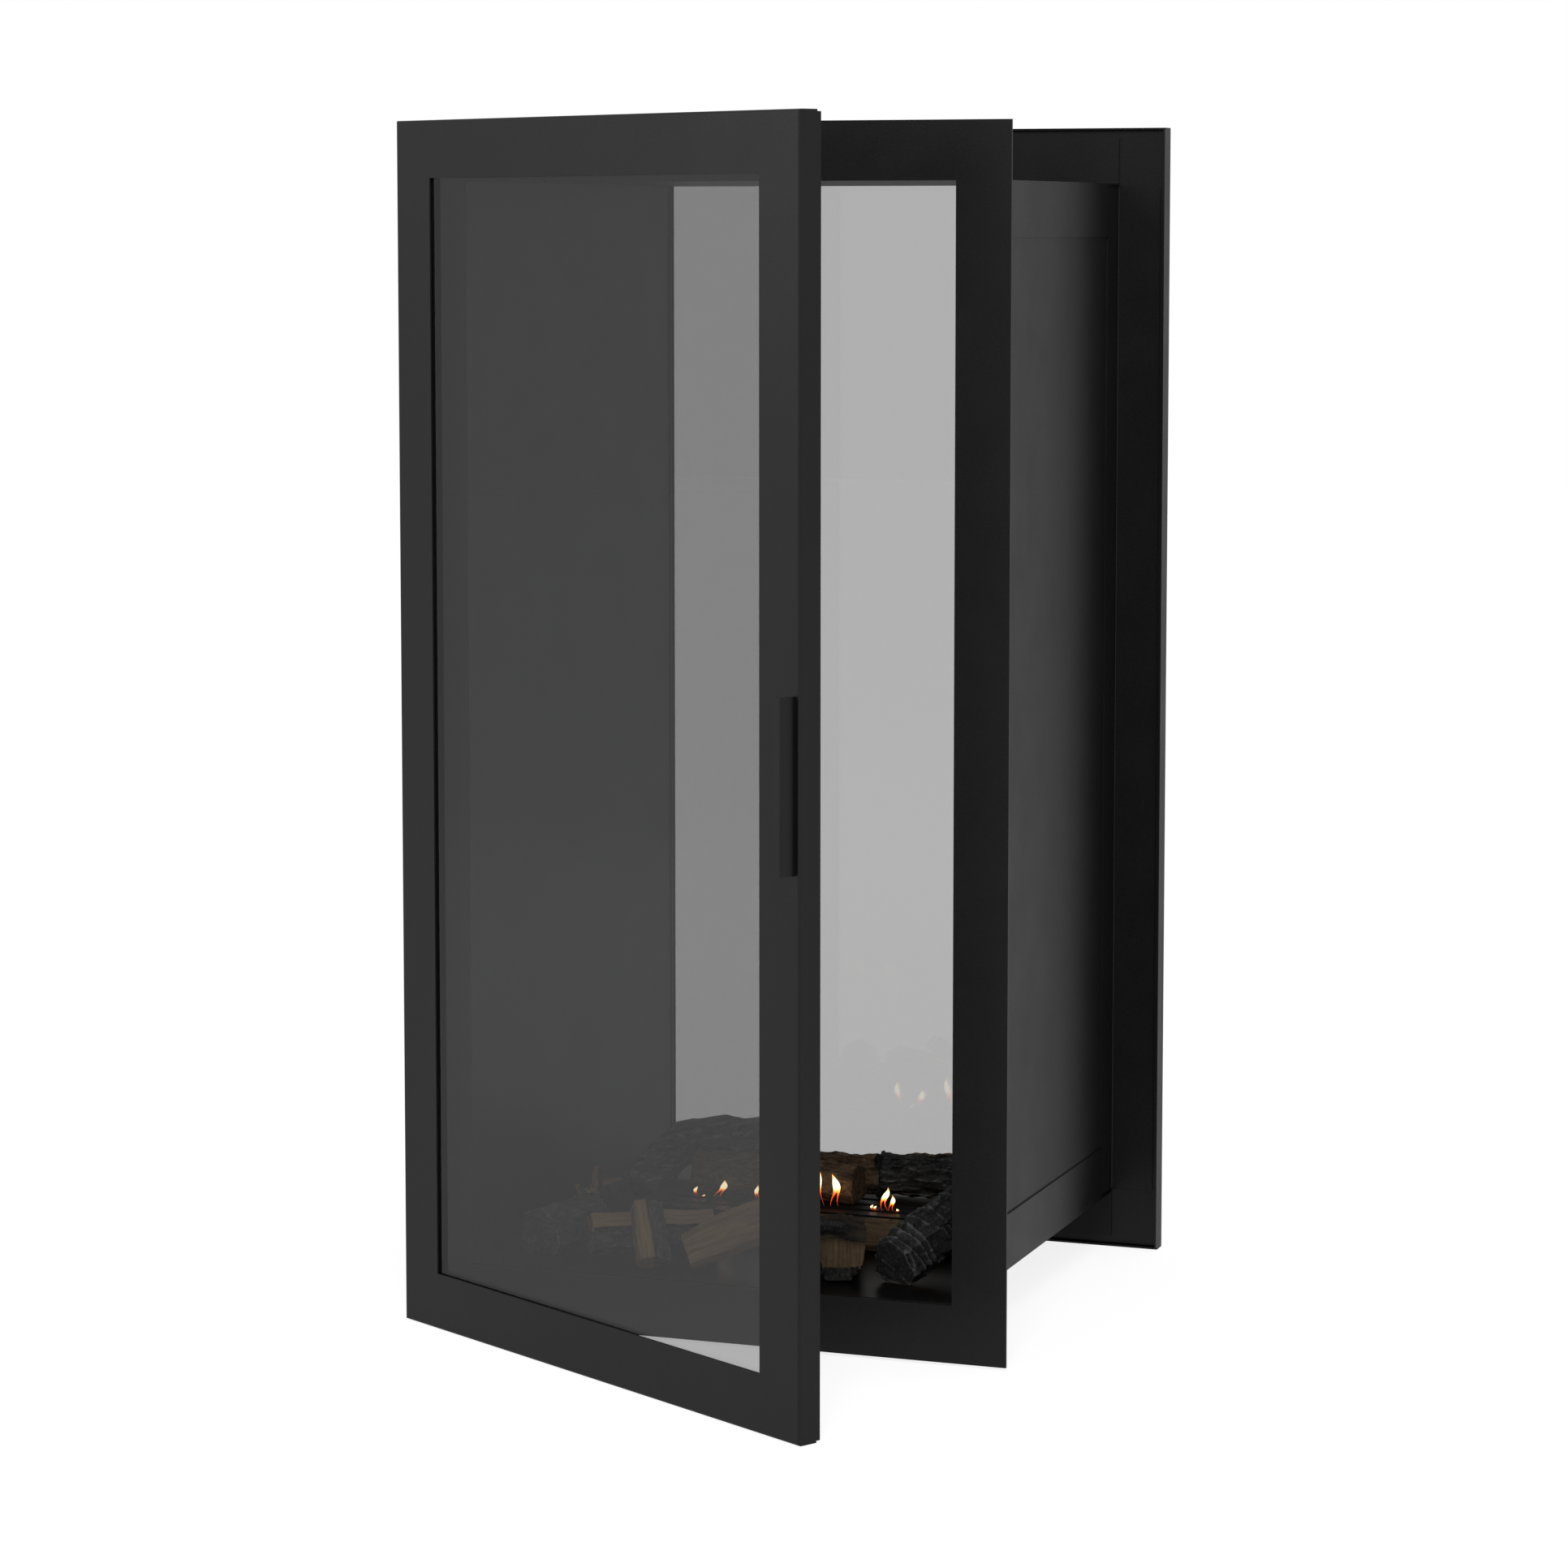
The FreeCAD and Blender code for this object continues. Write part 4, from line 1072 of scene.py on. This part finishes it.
@dataclass
class FlameRow:
    """The flames on the burner, before and behind the log that lies on it."""

    flames: list[Flame] = field(default_factory=lambda: [
        Flame(-0.1214, 0.014, 0.0048, 0.001),
        Flame(-0.112, 0.004, 0.0034),
        Flame(-0.0945, 0.024, 0.0095, 0.0105),
        Flame(-0.0474, 0.021, 0.0056, -0.002),
        Flame(0.0268, 0.044, 0.0055, -0.003),
        Flame(0.0445, 0.042, 0.0105, -0.004),
        Flame(0.0868, 0.008, 0.0034),
        Flame(0.0905, 0.007, 0.0034),
        Flame(0.1005, 0.030, 0.0085, 0.0035),
        Flame(0.1092, 0.021, 0.0062, 0.001),
        Flame(0.1155, 0.005, 0.0034),
        Flame(-0.099, 0.027, 0.007, -0.003, y=0.0585),
        Flame(-0.07, 0.036, 0.007, 0.002, y=0.0585),
        Flame(-0.051, 0.005, 0.0034, y=0.0585),
        Flame(-0.038, 0.027, 0.0085, -0.003, y=0.0585),
        Flame(-0.006, 0.046, 0.008, 0.002, y=0.0585),
    ])
    ball_radius: float = 0.5
    rings: int = 14
    sides: int = 12
    main_tongue: Tongue = Tongue(-0.35, 1.0)
    side_tongue: Tongue = Tongue(0.55, 0.45)
    head: float = 0.66
    head_width: float = 0.82
    head_reach: float = 0.2
    stem_width: float = 0.19
    depth_share: float = 0.6
    tip_reach: float = 0.34
    foot_bend: float = 1.5
    lean_bend: float = 1.6
    curl_width: float = 0.3
    curl_turn: float = 6.5
    curl_per_metre: float = 90
    voxel_share: float = 0.05
    smoothing: float = 0.5
    smooth_rounds: int = 3
    foot_glow: float = 0.08
    head_glow: float = 0.95
    glow_reach: float = 0.22

    def tongue(self, flame: Flame, tongue: Tongue) -> bpy.types.Object:
        """Model one tongue: a ball drawn out to a thin foot and a curling tip.

        Args:
            flame: The flame's size and place.
            tongue: The tongue's foot and head.

        Returns:
            The tongue.
        """
        bpy.ops.object.select_all(action="DESELECT")
        bpy.ops.mesh.primitive_uv_sphere_add(segments=self.sides, ring_count=self.rings,
                                             radius=self.ball_radius)
        piece = bpy.context.active_object
        for vertex in piece.data.vertices:
            share = vertex.co.z + self.ball_radius
            bulge = tongue.head * math.exp(-((share - self.head) / self.head_reach) ** 2)
            tip = min(1, (1 - share) / self.tip_reach)
            breadth = flame.width * (self.stem_width + self.head_width * bulge) * tip
            foot = tongue.side * flame.width * (1 - share) ** self.foot_bend
            curl = math.sin(self.curl_turn * share + self.curl_per_metre * flame.x)
            bend = flame.lean * share ** self.lean_bend + foot + self.curl_width * flame.width * curl
            vertex.co = (
                flame.x + breadth * vertex.co.x + bend,
                flame.y + self.depth_share * breadth * vertex.co.y,
                flame.foot + flame.height * share,
            )
        return piece

    def trim(self, piece: bpy.types.Object, height: float) -> None:
        """Take off loose bits of skin at the thin ends.

        Args:
            piece: The flame.
            height: Height of its head, which stays.
        """
        Bench.pick(piece)
        bpy.ops.object.mode_set(mode="EDIT")
        bpy.ops.mesh.select_all(action="DESELECT")
        bpy.ops.object.mode_set(mode="OBJECT")
        min(piece.data.vertices, key=lambda vertex: abs(vertex.co.z - height)).select = True
        bpy.ops.object.mode_set(mode="EDIT")
        bpy.ops.mesh.select_linked()
        bpy.ops.mesh.select_all(action="INVERT")
        bpy.ops.mesh.delete(type="VERT")
        bpy.ops.object.mode_set(mode="OBJECT")

    def model(self, flame: Flame, number: int) -> bpy.types.Object:
        """Model one flame of two tongues that meet in one head.

        Args:
            flame: Its size and place.
            number: Its number in the row.

        Returns:
            The flame.
        """
        second = self.tongue(flame, self.side_tongue)
        piece = self.tongue(flame, self.main_tongue)
        second.select_set(True)
        bpy.ops.object.join()
        piece.name = f"flame_{number}"
        Bench.modify(piece, "SUBSURF", levels=1, render_levels=1)
        Bench.modify(piece, "REMESH", mode="VOXEL", voxel_size=self.voxel_share * flame.width, adaptivity=0)
        self.trim(piece, flame.foot + self.head * flame.height)
        Bench.modify(piece, "SMOOTH", factor=self.smoothing, iterations=self.smooth_rounds)
        glow = piece.data.attributes.new("glow", "FLOAT", "POINT")
        for vertex in piece.data.vertices:
            share = (vertex.co.z - flame.foot) / flame.height
            bright = math.exp(-((share - self.head) / self.glow_reach) ** 2)
            glow.data[vertex.index].value = self.foot_glow + self.head_glow * bright
        Bench.pick(piece)
        bpy.ops.object.shade_smooth()
        Bench.dress(piece, Finish.FLAME)
        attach(piece, "casing")
        return piece

    def build(self) -> None:
        """Model every flame."""
        for number, flame in enumerate(self.flames, start=1):
            REPORT.info("%s", self.model(flame, number).name)


@dataclass
class SteelWork:
    """Casing, frames, doors and burner, which keep their solids."""

    special: dict[str, Finish] = field(default_factory=lambda: {"base_tray": Finish.FLOOR_ENAMEL})

    def build(self) -> None:
        """Dress every solid by its slot, the logs' too, which their casts then replace."""
        for row in frame["record"]["subparts"]:
            finish = self.special.get(row["node"], Finish[row["material_slot"].upper()])
            Bench.dress(frame["nodes"][row["node"]], finish)
            REPORT.info("%s: %s", row["node"], finish.value.name)


@dataclass(frozen=True)
class SoftBox:
    """Area lamp, with its width and height in metres and its power in watts."""

    name: str
    place: Point
    aim: Point
    size: Pair
    power: float

    def hang(self) -> None:
        """Hang the lamp and point it at its aim."""
        data = bpy.data.lights.new(self.name, "AREA")
        data.shape = "RECTANGLE"
        data.size, data.size_y = self.size
        data.energy = self.power
        lamp = bpy.data.objects.new(self.name, data)
        lamp.location = self.place
        lamp.rotation_euler = (Vector(self.aim) - Vector(self.place)).to_track_quat("-Z", "Y").to_euler()
        bpy.context.scene.collection.objects.link(lamp)


@dataclass
class Studio:
    """Floor, light and camera."""

    floor_height: float = -0.0625
    floor_size: float = 30
    floor_white: float = 0.84
    floor_grey: float = 0.42
    light_level: float = 0.42
    lamps: tuple[SoftBox, ...] = (
        SoftBox("key", place=(-3.6, -2.0, 1.7), aim=(0, -0.2, 0.9), size=(0.9, 1.2), power=8),
        SoftBox("front", place=(1.2, -3.6, 3.2), aim=(0.05, -0.15, 0.05), size=(1.2, 1.2), power=46),
    )
    camera_place: Point = (1.6405, -4.6109, 1.1106)
    camera_yaw: float = 19.909
    camera_tilt: float = 5.54
    lens: float = 102.689
    sensor_width: float = 36
    shift: Pair = (0.00424, -0.08)

    def floor(self) -> None:
        """Lay a white floor that takes a soft shadow.

        Mirrored in the glass, its glow makes up what its grey takes, so it meets the sky without a step.
        """
        bpy.ops.object.select_all(action="DESELECT")
        bpy.ops.mesh.primitive_plane_add(size=self.floor_size, location=(0, 0, self.floor_height))
        bpy.ops.object.transform_apply(location=True, rotation=True, scale=True)
        piece = bpy.context.active_object
        piece.name = "studio_floor"
        graph = Graph("studio_floor")
        path = graph.add("ShaderNodeLightPath")
        seen = graph.math("MAXIMUM", path.outputs["Is Camera Ray"], path.outputs["Is Transmission Ray"])
        direct = graph.math("MULTIPLY", seen, self.floor_white)
        missing = self.light_level * (1 - self.floor_grey)
        mirrored = graph.math("MULTIPLY", path.outputs["Is Glossy Ray"], missing)
        white = graph.add("ShaderNodeEmission", None, Color=(1, 1, 1, 1),
                          Strength=graph.math("ADD", direct, mirrored))
        matt = graph.add("ShaderNodeBsdfDiffuse", None, Color=(*[self.floor_grey] * 3, 1))
        both = graph.add("ShaderNodeAddShader")
        graph.feed(both.inputs[0], white.outputs[0])
        graph.feed(both.inputs[1], matt.outputs[0])
        graph.feed(graph.output.inputs["Surface"], both.outputs[0])
        piece.data.materials.append(graph.material)

    def sky(self) -> None:
        """Surround the part with even light that the camera sees as white."""
        world = bpy.data.worlds.new("studio")
        bpy.context.scene.world = world
        world.use_nodes = True
        tree = world.node_tree
        back = tree.nodes["Background"]
        back.inputs["Color"].default_value = (1, 1, 1, 1)
        path = tree.nodes.new("ShaderNodeLightPath")
        seen = tree.nodes.new("ShaderNodeMath")
        seen.operation = "MAXIMUM"
        tree.links.new(path.outputs["Is Camera Ray"], seen.inputs[0])
        tree.links.new(path.outputs["Is Transmission Ray"], seen.inputs[1])
        level = tree.nodes.new("ShaderNodeMapRange")
        level.inputs["To Min"].default_value = self.light_level
        level.inputs["To Max"].default_value = 1.0
        tree.links.new(seen.outputs[0], level.inputs["Value"])
        tree.links.new(level.outputs["Result"], back.inputs["Strength"])

    def camera(self) -> None:
        """Set the camera at the photograph's angle."""
        data = bpy.data.cameras.new("camera")
        data.lens = self.lens
        data.sensor_width = self.sensor_width
        data.sensor_fit = "HORIZONTAL"
        data.shift_x, data.shift_y = self.shift
        camera = bpy.data.objects.new("camera", data)
        camera.location = self.camera_place
        camera.rotation_euler = (math.radians(90 - self.camera_tilt), 0, math.radians(self.camera_yaw))
        bpy.context.scene.collection.objects.link(camera)
        bpy.context.scene.camera = camera

    def build(self) -> None:
        """Set up the whole studio."""
        self.floor()
        self.sky()
        for lamp in self.lamps:
            lamp.hang()
        self.camera()
        bpy.context.scene.view_settings.view_transform = "Standard"


def main() -> None:
    """Build everything in order."""
    logging.basicConfig(level=logging.INFO, format="%(name)s %(message)s")
    SteelWork().build()
    LogStack().build()
    FlameRow().build()
    Studio().build()


if __name__ == "__main__":
    main()
